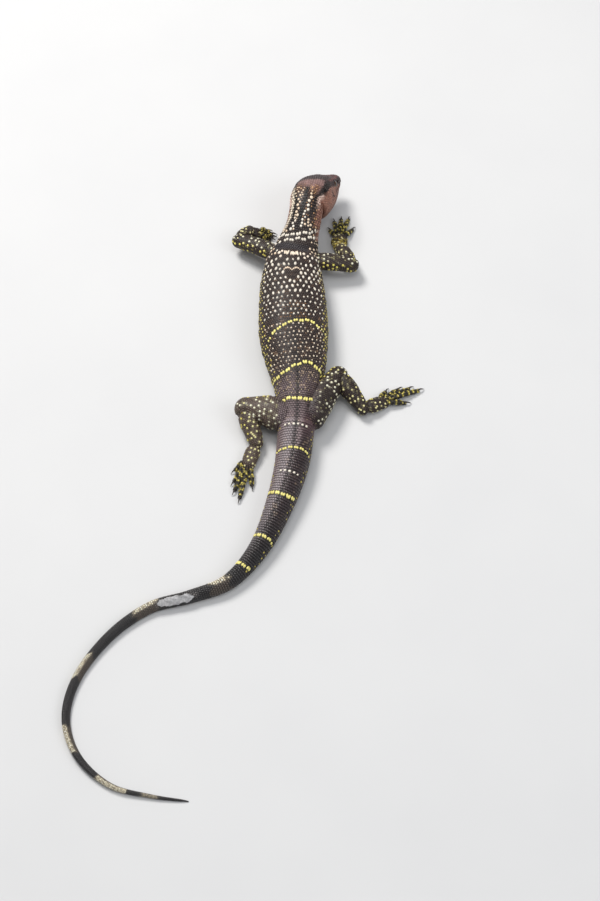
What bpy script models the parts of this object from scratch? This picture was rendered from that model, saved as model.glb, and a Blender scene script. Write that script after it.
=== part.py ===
"""A young monitor lizard, still and life size, lying on its belly with its neck arched, its head turned
to the right and looking down, and its tail laid in a hook on the floor.
The body is one tube of changing section along a bent spine, parted by thin cuts into head, neck, torso
and four lengths of tail. Each limb is an upper piece, a lower piece and a foot with clawed toes.
Sizes are in millimetres until the last step, which moves the middle of the footprint to the origin.
+Y is forwards, +X the animal's right, +Z up."""

import math

import bpy
import numpy as np

MM = 0.001
GAP = 0.3            # room kept between two pieces that touch
SINK = 0.6           # how much of the belly's and tail's roundness is pressed flat on the floor

# Where the spine runs in plan, from the snout's tip to the tail's tip, and how far each place is
# lifted above where the body would lie on the floor.
SPINE = (
    ("snout", 16.9, 138.3, 9.2),
    ("eyes", 10.9, 130.6, 11.9),
    ("nape", 3.3, 119.9, 15.5),
    ("neck, front", 2.3, 112.9, 15.4),
    ("neck, middle", 0.9, 105.8, 11.6),
    ("neck, base", -1.0, 99.2, 6.4),
    ("shoulders", -2.9, 91.4, 1.9),
    ("chest", -3.5, 79.0, 0.0),
    ("ribs", -3.1, 65.5, 0.0),
    ("belly", -2.6, 50.0, 0.0),
    ("loins", -1.3, 34.0, 0.0),
    ("hips", -1.0, 16.0, 0.0),
    ("vent", -1.8, 4.0, 0.0),
    ("tail 1", -3.6, -11.0, 0.0),
    ("tail 2", -8.2, -28.0, 0.0),
    ("tail 3", -16.5, -48.0, 0.0),
    ("tail 4", -28.8, -63.2, 0.0),
    ("tail 5", -44.5, -69.8, 0.0),
    ("tail 6", -60.5, -74.6, 0.0),
    ("tail 7", -75.5, -86.2, 0.0),
    ("tail 8", -87.5, -103.5, 0.0),
    ("tail 9", -91.4, -121.0, 0.0),
    ("tail 10", -86.0, -136.8, 0.0),
    ("tail 11", -73.0, -148.6, 0.0),
    ("tail 12", -57.5, -152.8, 0.0),
    ("tail tip", -42.5, -154.8, 0.0),
)

# Body section by distance from the snout: half width, height above the spine line, depth below it,
# and how round the section is (1 is an ellipse, less is boxier).
SECTIONS = (
    (0.00, 0.30, 0.25, 0.25, 1.00),
    (0.15, 0.95, 0.80, 0.65, 1.00),
    (0.55, 1.75, 1.50, 1.15, 0.95),
    (1.30, 2.50, 2.10, 1.60, 0.90),
    (2.50, 3.10, 2.65, 2.00, 0.87),
    (4.50, 3.70, 3.05, 2.40, 0.85),
    (7.00, 4.50, 3.60, 3.00, 0.82),
    (9.20, 5.15, 4.10, 3.50, 0.80),
    (11.5, 5.90, 4.60, 4.10, 0.79),
    (14.0, 6.80, 5.20, 4.90, 0.78),
    (17.0, 7.50, 5.50, 5.80, 0.78),
    (20.0, 7.90, 5.60, 6.50, 0.80),
    (23.0, 7.80, 5.50, 6.90, 0.83),
    (26.0, 7.10, 5.30, 6.80, 0.88),
    (30.0, 6.60, 5.20, 6.60, 0.94),
    (36.0, 6.70, 5.40, 6.60, 0.97),
    (44.0, 7.50, 6.10, 7.00, 0.97),
    (50.0, 9.20, 7.10, 7.80, 0.95),
    (57.0, 11.4, 8.60, 9.20, 0.93),
    (69.0, 13.7, 9.80, 10.1, 0.92),
    (83.0, 14.7, 10.3, 10.5, 0.92),
    (94.0, 15.0, 10.3, 10.5, 0.92),
    (104.0, 14.1, 9.90, 10.1, 0.92),
    (114.0, 12.3, 9.20, 9.50, 0.93),
    (124.0, 9.90, 8.40, 8.70, 0.94),
    (132.0, 8.50, 7.80, 8.10, 0.95),
    (142.0, 7.70, 7.30, 7.40, 0.96),
    (153.0, 7.50, 6.90, 6.90, 0.97),
    (166.0, 6.80, 6.40, 6.20, 1.00),
    (180.0, 5.80, 5.70, 5.40, 1.03),
    (196.0, 4.60, 5.00, 4.50, 1.06),
    (212.0, 3.60, 4.30, 3.70, 1.08),
    (228.0, 2.85, 3.60, 3.05, 1.10),
    (244.0, 2.40, 3.10, 2.65, 1.10),
    (262.0, 2.05, 2.70, 2.30, 1.10),
    (286.0, 1.80, 2.40, 2.05, 1.10),
    (312.0, 1.62, 2.18, 1.85, 1.10),
    (328.0, 1.45, 1.95, 1.65, 1.08),
    (343.0, 1.20, 1.60, 1.38, 1.06),
    (357.0, 0.95, 1.25, 1.08, 1.04),
    (368.0, 0.68, 0.88, 0.78, 1.00),
    (375.0, 0.42, 0.52, 0.48, 1.00),
    (377.5, 0.20, 0.22, 0.22, 1.00),
)

# Roll of the section about the spine in degrees, by distance: positive lifts the animal's right side.
ROLL = (
    (0, 17), (23, 17), (31, 9), (40, 14), (48, 9), (56, 2), (66, 0),
    (150, 0), (215, 14), (250, 30), (330, 34), (378, 20),
)

# How far the loose skin of the throat hangs below the section, by distance.
POUCH = (
    (0, 0), (1.5, 0.4), (4.5, 3.4), (8, 5.6), (13, 7.0), (19, 7.0), (27, 5.4), (36, 3.6), (46, 1.4), (55, 0),
)
POUCH_START = 0.35     # it begins this share of the way from the widest line down to the keel
POUCH_SPREAD = 0.32    # how far it bulges to each side, as a share of how far it hangs

# Where the body is cut into its nodes, by distance from the snout.
NAPE, NECK_BASE, VENT = 26.0, 53.0, 142.0
TAIL_CUTS = (196.0, 256.0, 318.0)

MOUTH_ANGLE = 15.0     # degrees below the widest line of the head
MOUTH_CORNER = 17.5    # how far back from the snout the mouth line runs
MOUTH_DEPTH = 0.42
MOUTH_HALF_ANGLE = 2.2

# Places on the head: distance from the snout, distance to the side, height over the spine line.
EYE = (11.4, 4.2, 1.5)
EYE_RADIUS = 2.1
LID_RADIUS = 2.0
NOSTRIL = (6.4, 4.3, 1.5)
NOSTRIL_SIZE = (0.75, 0.85, 0.40)
EAR = (23.3, 7.6, 0.9)
EAR_SIZE = (1.15, 1.25, 1.65)


def hermite(xs, ys, at):
    """Values at the wanted places on a smooth line through the points (xs, ys).
    Each slope is the chord of its two neighbours, held to three times the gentler side, so that
    nothing overshoots."""
    xs, ys = np.asarray(xs, float), np.asarray(ys, float)
    step = np.diff(xs)
    chord = np.diff(ys) / step
    slope = np.zeros(len(xs))
    slope[1:-1] = (chord[:-1] * step[1:] + chord[1:] * step[:-1]) / (step[:-1] + step[1:])
    slope[0], slope[-1] = chord[0], chord[-1]
    turning = chord[:-1] * chord[1:] <= 0
    slope[1:-1][turning] = 0
    least = 3 * np.minimum(abs(chord[:-1]), abs(chord[1:]))
    slope[1:-1] = np.clip(slope[1:-1], -least, least)
    i = np.clip(np.searchsorted(xs, at) - 1, 0, len(xs) - 2)
    t = np.clip((at - xs[i]) / step[i], 0, 1)
    rise = step[i]
    return (
        ys[i] * (1 + 2 * t) * (1 - t) ** 2
        + slope[i] * rise * t * (1 - t) ** 2
        + ys[i + 1] * t * t * (3 - 2 * t)
        - slope[i + 1] * rise * t * t * (1 - t)
    )


def through(points, count=24):
    """A Catmull-Rom line through the points, with count steps between neighbours."""
    p = np.asarray(points, float)
    p = np.vstack([2 * p[0] - p[1], p, 2 * p[-1] - p[-2]])
    t = np.linspace(0, 1, count, endpoint=False)[:, None]
    runs = []
    for a, b, c, d in zip(p[:-3], p[1:-2], p[2:-1], p[3:]):
        runs.append(
            0.5 * (2 * b + (c - a) * t + (2 * a - 5 * b + 4 * c - d) * t**2
                   + (3 * b - a - 3 * c + d) * t**3)
        )
    return np.vstack(runs + [p[-2][None]])


def lengths(line):
    """Distance along a line at each of its points."""
    return np.concatenate([[0], np.cumsum(np.linalg.norm(np.diff(line, axis=0), axis=1))])


def section(s):
    """Half width, height, depth and roundness of the body at distances s."""
    table = np.array(SECTIONS)
    return [hermite(table[:, 0], table[:, i], s) for i in range(1, 5)]


def roll_at(s):
    """Roll of the section at distances s, in radians."""
    table = np.array(ROLL, float)
    return np.radians(hermite(table[:, 0], table[:, 1], s))


def spine_line():
    """The spine's points in space: its plan, lifted so that each section's lowest point is pressed
    SINK into the floor, plus the lift that the table gives."""
    plan = through([(x, y, lift) for _, x, y, lift in SPINE])
    flat = plan.copy()
    flat[:, 2] = 0
    s = lengths(plan)
    s = s * SECTIONS[-1][0] / s[-1]
    wide, _, deep, _ = section(s)
    roll = roll_at(s)
    reach = np.sqrt((deep * np.cos(roll)) ** 2 + (wide * np.sin(roll)) ** 2)
    sink = np.minimum(SINK, 0.3 * deep)
    flat[:, 2] = reach - sink + plan[:, 2]
    return flat


LINE = spine_line()
LINE_S = lengths(LINE) * SECTIONS[-1][0] / lengths(LINE)[-1]


def spine_frame(s):
    """Place, forward, right and up of the body's section at distances s."""
    place = np.stack([np.interp(s, LINE_S, LINE[:, i]) for i in range(3)], axis=1)
    reach = 1.2
    ahead = np.stack([np.interp(s - reach, LINE_S, LINE[:, i]) for i in range(3)], axis=1)
    behind = np.stack([np.interp(s + reach, LINE_S, LINE[:, i]) for i in range(3)], axis=1)
    forward = ahead - behind
    forward /= np.linalg.norm(forward, axis=1)[:, None]
    right = np.cross(forward, (0, 0, 1))
    right /= np.linalg.norm(right, axis=1)[:, None]
    up = np.cross(right, forward)
    roll = roll_at(s)[:, None]
    return (
        place,
        forward,
        right * np.cos(roll) + up * np.sin(roll),
        up * np.cos(roll) - right * np.sin(roll),
    )


def hill(distance, width):
    """A smooth bump, 1 at its middle, that fades over its width."""
    return np.exp(-((distance / width) ** 2))


def head_relief(s, side, high):
    """How far the head stands out of its plain section: brow ridges, cheeks, lids, lips, the hollow
    before the eye, the crown's shallow middle and the ear's rim."""
    x = abs(side)
    flank = np.clip(x / 3.0, 0, 1)
    eye = np.hypot(s - EYE[0], high - EYE[2])
    ear = np.hypot((s - EAR[0]) / EAR_SIZE[0], (high - EAR[2]) / EAR_SIZE[2])
    out = 0.55 * hill(s - 10.8, 3.4) * hill(x - 4.1, 1.3) * hill(high - 3.6, 1.3)
    out += 0.55 * hill(s - 18.5, 3.6) * hill(high + 0.2, 2.8) * flank
    out += 0.42 * hill(eye - LID_RADIUS, 0.5) * flank
    out -= 0.35 * hill(eye, 1.5) * flank
    out -= 0.28 * hill(s - 7.8, 1.9) * hill(high - 1.5, 0.9) * flank
    out -= 0.25 * hill(s - 15.0, 5.0) * hill(x, 2.2) * (high > 0)
    out += 0.20 * hill(ear - 1.25, 0.35) * flank
    return out


def mouth_columns():
    """Angles round the head, with three close lines on each side that carve the mouth."""
    inner = math.radians(MOUTH_HALF_ANGLE)
    line = -math.radians(MOUTH_ANGLE)
    groove = [line - inner, line, line + inner]
    upper = np.linspace(line + 3.4 * inner, math.pi / 2, 11)
    lower = np.linspace(-math.pi / 2, line - 3.4 * inner, 8)
    right = np.concatenate([lower, groove, upper])
    left = math.pi - right[1:-1][::-1]
    return np.concatenate([right, left])


def body_grid(s, angle, grow=0.0, relief=True):
    """Points of the body's skin, one ring for each distance and one column for each angle from the
    animal's right, through its back. grow thickens it all round."""
    wide, tall, deep, round_ = [v[:, None] for v in section(s)]
    c, v = np.cos(angle)[None, :], np.sin(angle)[None, :]
    half = np.where(v > 0, tall, deep)
    side = (wide + grow) * np.sign(c) * abs(c) ** round_
    high = (half + grow) * np.sign(v) * abs(v) ** round_
    sag = np.clip((-v - POUCH_START) / (1 - POUCH_START), 0, 1)
    table = np.array(POUCH, float)
    loose = hermite(table[:, 0], table[:, 1], s)[:, None]
    high = high - loose * sag**2 * (3 - 2 * sag)
    side = side + np.sign(c) * POUCH_SPREAD * loose * hill(v + 0.62, 0.38)
    place, _, right, up = spine_frame(s)
    if relief:
        along = np.broadcast_to(s[:, None], side.shape)
        reach = np.hypot(side, high)
        out = head_relief(along, side, high) * np.clip((27.0 - along) / 3.0, 0, 1)
        groove = abs(abs(abs(angle - math.pi / 2) - math.pi / 2) - math.radians(MOUTH_ANGLE))
        below = (np.sin(angle) < 0) & (groove < 0.01)
        fade = np.clip((MOUTH_CORNER - along) / 1.2, 0, 1) * np.clip(along / 0.8, 0.35, 1)
        lip = hill(groove - math.radians(9), math.radians(7)) * (np.sin(angle) < 0.05)
        out += 0.16 * lip[None, :] * fade
        out -= MOUTH_DEPTH * below[None, :] * fade
        side = side * (1 + out / reach)
        high = high * (1 + out / reach)
    return (
        place[:, None, :] + side[..., None] * right[:, None, :] + high[..., None] * up[:, None, :]
    )


def mesh_object(name, rings):
    """A closed tube through rings of points, with a fan over each end."""
    count, sides, _ = rings.shape
    points = list(map(tuple, rings.reshape(-1, 3)))
    first, last = len(points), len(points) + 1
    points += [tuple(rings[0].mean(axis=0)), tuple(rings[-1].mean(axis=0))]
    faces = []
    for i in range(count - 1):
        for j in range(sides):
            k = (j + 1) % sides
            faces.append((i * sides + j, i * sides + k, (i + 1) * sides + k, (i + 1) * sides + j))
    for j in range(sides):
        k = (j + 1) % sides
        faces.append((first, k, j))
        faces.append((last, (count - 1) * sides + j, (count - 1) * sides + k))
    mesh = bpy.data.meshes.new(name)
    mesh.from_pydata(points, [], faces)
    return add_object(name, mesh)


def add_object(name, mesh):
    """Puts a mesh in the scene with its faces pointing out."""
    ob = bpy.data.objects.new(name, mesh)
    bpy.context.scene.collection.objects.link(ob)
    if signed_volume(mesh) < 0:
        mesh.flip_normals()
    return ob


def signed_volume(mesh):
    mesh.calc_loop_triangles()
    points = np.array([v.co for v in mesh.vertices])
    tri = np.array([t.vertices for t in mesh.loop_triangles])
    a, b, c = points[tri[:, 0]], points[tri[:, 1]], points[tri[:, 2]]
    return float((a * np.cross(b, c)).sum() / 6)


def tube(name, points, radii, sides=12, flat=1.0, grow=0.0, rings=7, cap=(70, 35)):
    """A closed, round-ended tube along a smooth line. flat is its height over its width, and cap
    holds the angles in degrees of the rings that round its ends."""
    line = through(points, 12)
    s = lengths(line)
    share = np.linspace(0, 1, len(radii))
    at = np.linspace(0, s[-1], rings)
    place = np.stack([np.interp(at, s, line[:, i]) for i in range(3)], axis=1)
    radius = hermite(share, radii, at / s[-1]) + grow
    cap = np.radians(cap)
    start, end = place[0] - place[1], place[-1] - place[-2]
    start, end = start / np.linalg.norm(start), end / np.linalg.norm(end)
    place = np.vstack(
        [place[0] + start * radius[0] * np.sin(cap)[:, None], place,
         place[-1] + end * radius[-1] * np.sin(cap[::-1])[:, None]]
    )
    radius = np.concatenate([radius[0] * np.cos(cap), radius, radius[-1] * np.cos(cap[::-1])])
    way = np.gradient(place, axis=0)
    way /= np.linalg.norm(way, axis=1)[:, None]
    across = np.cross(way, (0, 0, 1))
    across /= np.linalg.norm(across, axis=1)[:, None]
    up = np.cross(across, way)
    angle = np.linspace(0, 2 * math.pi, sides, endpoint=False)
    c, v = np.cos(angle)[None, :, None], np.sin(angle)[None, :, None]
    r = radius[:, None, None]
    tall = (r - grow) * flat + grow
    grid = place[:, None, :] + r * c * across[:, None, :] + tall * v * up[:, None, :]
    return mesh_object(name, grid)


def largest_surface(ob):
    """Keeps only the closed surface that holds the most."""
    mesh = ob.data
    parent = list(range(len(mesh.vertices)))

    def root(i):
        while parent[i] != i:
            parent[i] = parent[parent[i]]
            i = parent[i]
        return i

    for edge in mesh.edges:
        a, b = root(edge.vertices[0]), root(edge.vertices[1])
        if a != b:
            parent[a] = b
    groups = {}
    for face in mesh.polygons:
        groups.setdefault(root(face.vertices[0]), []).append(face)
    if len(groups) < 2:
        return ob
    best, most = None, -1.0
    for faces in groups.values():
        used = sorted({v for f in faces for v in f.vertices})
        index = {v: i for i, v in enumerate(used)}
        part = bpy.data.meshes.new(mesh.name)
        part.from_pydata(
            [mesh.vertices[v].co[:] for v in used], [],
            [tuple(index[v] for v in f.vertices) for f in faces],
        )
        held = signed_volume(part)
        if held > most:
            best, most = part, held
    ob.data = best
    return ob


def boolean(ob, others, operation, solver="EXACT"):
    """Joins or cuts ob with the other objects, which are then removed."""
    group = bpy.data.collections.new("tools")
    for other in others:
        group.objects.link(other)
    mod = ob.modifiers.new("cut", "BOOLEAN")
    mod.operand_type = "COLLECTION"
    mod.collection = group
    mod.operation = operation
    mod.solver = solver
    bpy.context.view_layer.update()
    ready = ob.evaluated_get(bpy.context.evaluated_depsgraph_get())
    mesh = bpy.data.meshes.new_from_object(ready)
    ob.modifiers.clear()
    ob.data = mesh
    bpy.data.collections.remove(group)
    for other in others:
        bpy.data.objects.remove(other)
    return largest_surface(ob)


def ball(name, centre, size, turn=0.0, sides=14, rings=8):
    """An ellipsoid. size holds its three half widths along the axes that frame gives."""
    middle, axes = centre
    lat = np.linspace(-math.pi / 2, math.pi / 2, rings + 2)[1:-1]
    lon = np.linspace(0, 2 * math.pi, sides, endpoint=False)
    a = size[0] * np.cos(lat)[:, None] * np.cos(lon)[None, :]
    b = size[2] * np.cos(lat)[:, None] * np.sin(lon)[None, :]
    a, b = a * math.cos(turn) - b * math.sin(turn), a * math.sin(turn) + b * math.cos(turn)
    c = size[1] * np.sin(lat)[:, None] * np.ones_like(lon)[None, :]
    grid = middle + a[..., None] * axes[0] + c[..., None] * axes[1] + b[..., None] * axes[2]
    return mesh_object(name, grid)


def head_place(place, sign):
    """A place on the head in space, with the axes back, outwards and up. sign is 1 for the right."""
    s, side, high = place
    middle, forward, right, up = [v[0] for v in spine_frame(np.array([s]))]
    return middle + sign * side * right + high * up, (-forward, sign * right, up)


def floor_block():
    """What lies under the floor, which presses every resting piece flat."""
    mesh = bpy.data.meshes.new("floor")
    x, y, low = 200.0, 260.0, -40.0
    points = [(i * x, j * y, k) for i in (-1, 1) for j in (-1, 1) for k in (low, 0.0)]
    faces = [(0, 1, 3, 2), (4, 6, 7, 5), (0, 4, 5, 1), (2, 3, 7, 6), (0, 2, 6, 4), (1, 5, 7, 3)]
    mesh.from_pydata(points, [], faces)
    return add_object("floor", mesh)


def pressed(ob):
    """ob without what would reach below the floor."""
    if min(v.co.z for v in ob.data.vertices) >= 0:
        return ob
    return boolean(ob, [floor_block()], "DIFFERENCE")


def body_piece(name, first, last, step, sides):
    """A length of the body between two distances, short of each cut by half the gap."""
    a = first + (GAP / 2 if first > 0 else 0)
    b = last - (GAP / 2 if last < SECTIONS[-1][0] else 0)
    s = np.linspace(a, b, max(3, round((b - a) / step) + 1))
    angle = np.linspace(0, 2 * math.pi, sides, endpoint=False) + math.pi / 2
    return pressed(mesh_object(name, body_grid(s, angle, relief=False)))


def head():
    """The head with its mouth line, lids and lips, cut by the eye sockets, nostrils and ears."""
    end = NAPE - GAP / 2
    s = np.concatenate(
        [(0.0, 0.15, 0.55, 1.2, 2.2), np.arange(3.2, 8.4, 1.0),
         np.arange(8.8, 14.3, 0.66), np.linspace(15.3, end, 10)]
    )
    ob = mesh_object("head", body_grid(s, mouth_columns()))
    tools = []
    for sign in (1, -1):
        tools.append(ball("socket", head_place(EYE, sign), (EYE_RADIUS + GAP,) * 3))
        tools.append(ball("nostril", head_place(NOSTRIL, sign), NOSTRIL_SIZE, math.radians(-30), 10, 5))
        tools.append(ball("ear", head_place(EAR, sign), EAR_SIZE, math.radians(15), 12, 6))
    return boolean(ob, tools, "DIFFERENCE")


def eye(name, sign):
    return ball(name, head_place(EYE, sign), (EYE_RADIUS,) * 3)


def body_tool():
    """The body from neck to tail base, one gap thicker, to trim the limbs' roots with."""
    s = np.linspace(30, 190, 60)
    angle = np.linspace(0, 2 * math.pi, 40, endpoint=False)
    return mesh_object("body", body_grid(s, angle, grow=GAP, relief=False))


# Each limb: its joints in plan and height, then half widths along the upper and lower piece.
UPPER_FLATNESS = 0.87    # height over width of the upper arm and the thigh
LIMBS = {
    "fore_right": {
        "root": (3.0, 92.5, 9.5), "bend": (22.8, 92.4, 6.8), "end": (17.6, 105.2, 3.3),
        "upper": (4.4, 4.2, 3.9, 3.7), "lower": (3.1, 3.6, 3.3, 2.6),
    },
    "fore_left": {
        "root": (-8.0, 95.0, 9.6), "bend": (-27.2, 105.6, 6.8), "end": (-23.0, 113.6, 3.4),
        "upper": (4.4, 4.2, 3.8, 3.6), "lower": (3.0, 3.4, 3.1, 2.6),
    },
    "hind_right": {
        "root": (3.6, 13.0, 7.6), "bend": (16.4, 32.4, 8.0), "end": (27.2, 18.4, 3.8),
        "upper": (7.6, 6.9, 5.6, 4.5), "lower": (3.7, 4.2, 3.5, 2.8),
    },
    "hind_left": {
        "root": (-5.2, 12.8, 7.6), "bend": (-22.8, 16.0, 7.8), "end": (-18.6, 1.4, 3.6),
        "upper": (8.2, 7.7, 6.5, 5.2), "lower": (4.3, 4.7, 3.9, 3.0),
    },
}

# Each foot: the way it points in degrees from +X, whether its first toe lies to the left of that way,
# the sole's length and half width, how high the knuckles arch, and each toe's turn in degrees and its
# length without the claw.
FEET = {
    "fore_right": (84.0, 1, 5.0, 3.8, 0.5, ((34, 6.0), (17, 9.0), (2, 10.2), (-12, 10.8), (-31, 7.4))),
    "fore_left": (-6.0, -1, 4.2, 2.8, 1.5, ((24, 3.0), (11, 3.8), (0, 4.2), (-11, 4.0), (-26, 3.2))),
    "hind_right": (29.0, 1, 9.6, 3.3, 0.5, ((28, 6.5), (13, 9.0), (3, 13.0), (-6, 16.4), (-24, 9.0))),
    "hind_left": (250.0, -1, 9.6, 3.3, 0.5, ((28, 6.5), (14, 9.0), (4, 12.6), (-7, 15.6), (-25, 9.0))),
}
TOE_RADII = (1.25, 1.1, 1.15, 0.9)
TOE_HEIGHT = 1.9       # of the toes' roots over the floor
TOE_END = 0.75         # of the toes' tips over the floor
HEEL_RADIUS = 2.0
CLAW_LENGTH = 3.0
CLAW_RADII = (0.62, 0.45, 0.12)


def limb_pieces(name):
    """Lines and half thicknesses of a limb's upper and lower piece. The upper one bows slightly up."""
    limb = LIMBS[name]
    root, bend, end = [np.array(limb[k]) for k in ("root", "bend", "end")]
    crown = (root + bend) / 2 + (0, 0, 0.6)
    calf = (bend + end) / 2 + (0, 0, 0.5)
    return (
        ([root, crown, bend], limb["upper"]),
        ([bend, calf, end], limb["lower"]),
    )


def limb(name):
    """The upper piece, trimmed to the body, and the lower piece, trimmed to the upper one."""
    kind = "arm" if name.startswith("fore") else "leg"
    (upper_line, upper_radii), (lower_line, lower_radii) = limb_pieces(name)
    upper = tube(f"{name}_upper_{kind}", upper_line, upper_radii, 12, UPPER_FLATNESS)
    upper = pressed(boolean(upper, [body_tool()], "DIFFERENCE"))
    lower = tube(f"{name}_lower_{kind}", lower_line, lower_radii, 10)
    tools = [tube("trim", upper_line, upper_radii, 12, UPPER_FLATNESS, GAP), body_tool()]
    lower = pressed(boolean(lower, tools, "DIFFERENCE"))
    return upper, lower


def foot(name):
    """Sole, toes and claws in one piece, trimmed to the lower leg and pressed on the floor."""
    heading, first_side, sole, half, arch, toes = FEET[name]
    lower_line, lower_radii = limb_pieces(name)[1]
    heel = np.array(LIMBS[name]["end"])
    way = np.array([math.cos(math.radians(heading)), math.sin(math.radians(heading)), 0])
    ball_of_foot = heel + way * sole
    ball_of_foot[2] = TOE_HEIGHT
    middle = (heel + ball_of_foot) / 2
    radii = (HEEL_RADIUS, half, half * 0.94)
    ob = tube(f"{name}_foot", [heel, middle, ball_of_foot], radii, 10, 0.72, rings=4)
    pieces = []
    for turn, length in toes:
        a = math.radians(heading + first_side * turn)
        out = np.array([math.cos(a), math.sin(a), 0])
        back = 0.22 * sole if abs(turn) > 25 else 0
        start = middle + (ball_of_foot - middle) * 0.6 + out * 1.2 - way * back
        start[2] = TOE_HEIGHT
        knuckle = start + out * (0.45 * length + 0.9) + (0, 0, arch)
        tip = start + out * (length + 1.2)
        tip[2] = TOE_END
        pieces.append(tube("toe", [start, knuckle, tip], TOE_RADII, 6, 0.95, rings=4, cap=(45,)))
        point = tip + out * CLAW_LENGTH
        point[2] = 0.16
        crook = (tip + point) / 2 + (0, 0, 0.75)
        root = tip - out * 0.5 + (0, 0, 0.2)
        pieces.append(tube("claw", [root, crook, point], CLAW_RADII, 5, 1.2, rings=3, cap=(40,)))
    ob = boolean(ob, pieces, "UNION")
    tools = [tube("trim", lower_line, lower_radii, 10, grow=GAP)]
    return pressed(boolean(ob, tools, "DIFFERENCE"))


# Base colour, roughness and metallic value of each material.
MATERIALS = {
    "body_skin": ((0.045, 0.038, 0.034), 0.5, 0.0),
    "head_skin": ((0.28, 0.19, 0.16), 0.48, 0.0),
    "tail_skin": ((0.05, 0.043, 0.036), 0.45, 0.0),
    "limb_skin": ((0.05, 0.045, 0.035), 0.5, 0.0),
    "eye": ((0.03, 0.02, 0.015), 0.08, 0.0),
}


def material(name):
    """A Principled BSDF material from the table, made once."""
    found = bpy.data.materials.get(name)
    if found:
        return found
    colour, rough, metallic = MATERIALS[name]
    made = bpy.data.materials.new(name)
    made.use_nodes = True
    shader = made.node_tree.nodes["Principled BSDF"]
    shader.inputs["Base Color"].default_value = (*colour, 1)
    shader.inputs["Roughness"].default_value = rough
    shader.inputs["Metallic"].default_value = metallic
    return made


def finish(pieces):
    """Moves the pieces from the plan to the origin, in metres, and gives each its material."""
    clouds = [np.array([v.co for v in ob.data.vertices]) for ob, _ in pieces]
    low = np.min([cloud.min(axis=0) for cloud in clouds], axis=0)
    high = np.max([cloud.max(axis=0) for cloud in clouds], axis=0)
    middle = (low + high) / 2
    middle[2] = 0
    for (ob, material_name), cloud in zip(pieces, clouds):
        ob.data.vertices.foreach_set("co", ((cloud - middle) * MM).astype(np.float32).ravel())
        ob.data.update()
        ob.data.materials.clear()
        ob.data.materials.append(material(material_name))
        ob.data.shade_smooth()


def main():
    for old in list(bpy.data.objects):
        bpy.data.objects.remove(old)
    pieces = [
        (head(), "head_skin"),
        (eye("eye_right", 1), "eye"),
        (eye("eye_left", -1), "eye"),
        (body_piece("neck", NAPE, NECK_BASE, 2.7, 28), "body_skin"),
        (body_piece("torso", NECK_BASE, VENT, 4.2, 32), "body_skin"),
    ]
    ends = (VENT, *TAIL_CUTS, SECTIONS[-1][0])
    plan = (("tail_base", 4.5, 24), ("tail_middle", 4.2, 18), ("tail_lower", 4.4, 14), ("tail_tip", 4.0, 10))
    for (name, step, sides), first, last in zip(plan, ends[:-1], ends[1:]):
        pieces.append((body_piece(name, first, last, step, sides), "tail_skin"))
    for name in LIMBS:
        pieces += [(piece, "limb_skin") for piece in (*limb(name), foot(name))]
    finish(pieces)


main()
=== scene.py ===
"""A young monitor lizard, life size and still, resting on a pale floor with its neck arched.

One skin mesh stands for all the flesh. Over it lie thousands of low scales, joined into a few meshes,
then the eyes, the claws and a flake of shed skin. Everything is worked out in millimetres in the
animal's own plan, and moved into the frame's metres when a mesh is made."""

import math

import bpy
import numpy as np
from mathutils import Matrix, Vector


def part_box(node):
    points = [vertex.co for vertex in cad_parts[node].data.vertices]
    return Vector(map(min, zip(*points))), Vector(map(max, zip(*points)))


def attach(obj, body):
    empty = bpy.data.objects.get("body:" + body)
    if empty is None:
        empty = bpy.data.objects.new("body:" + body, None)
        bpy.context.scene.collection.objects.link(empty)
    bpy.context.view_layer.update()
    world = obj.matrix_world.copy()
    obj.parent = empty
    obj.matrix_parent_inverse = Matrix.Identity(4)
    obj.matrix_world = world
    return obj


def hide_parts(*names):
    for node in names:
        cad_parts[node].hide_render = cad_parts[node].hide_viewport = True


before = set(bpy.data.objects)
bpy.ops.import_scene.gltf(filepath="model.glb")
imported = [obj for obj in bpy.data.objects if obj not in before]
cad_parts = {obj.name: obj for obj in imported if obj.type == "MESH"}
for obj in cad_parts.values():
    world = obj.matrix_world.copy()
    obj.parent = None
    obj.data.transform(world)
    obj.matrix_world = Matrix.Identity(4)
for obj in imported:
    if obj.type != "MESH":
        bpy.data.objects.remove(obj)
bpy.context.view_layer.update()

MM = 0.001
SINK = 0.6           # how much of the belly's roundness is pressed flat on the floor
INSET = 0.12         # how far the skin lies inside the flesh, which leaves room for the scales
FLOOR_ROOM = 0.16    # the skin's least height over the floor
FLOOR_EASE = 0.06    # how softly the skin bends into that height
RNG = np.random.default_rng(20)

# Where the spine runs in plan, from the snout's tip to the tail's tip, and each place's lift.
SPINE = (
    (16.9, 138.3, 9.2), (10.9, 130.6, 11.9), (3.3, 119.9, 15.5), (2.3, 112.9, 15.4),
    (0.9, 105.8, 11.6), (-1.0, 99.2, 6.4), (-2.9, 91.4, 1.9), (-3.5, 79.0, 0.0),
    (-3.1, 65.5, 0.0), (-2.6, 50.0, 0.0), (-1.3, 34.0, 0.0), (-1.0, 16.0, 0.0),
    (-1.8, 4.0, 0.0), (-3.6, -11.0, 0.0), (-8.2, -28.0, 0.0), (-16.5, -48.0, 0.0),
    (-28.8, -63.2, 0.0), (-44.5, -69.8, 0.0), (-60.5, -74.6, 0.0), (-75.5, -86.2, 0.0),
    (-87.5, -103.5, 0.0), (-91.4, -121.0, 0.0), (-86.0, -136.8, 0.0), (-73.0, -148.6, 0.0),
    (-57.5, -152.8, 0.0), (-42.5, -154.8, 0.0),
)

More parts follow.
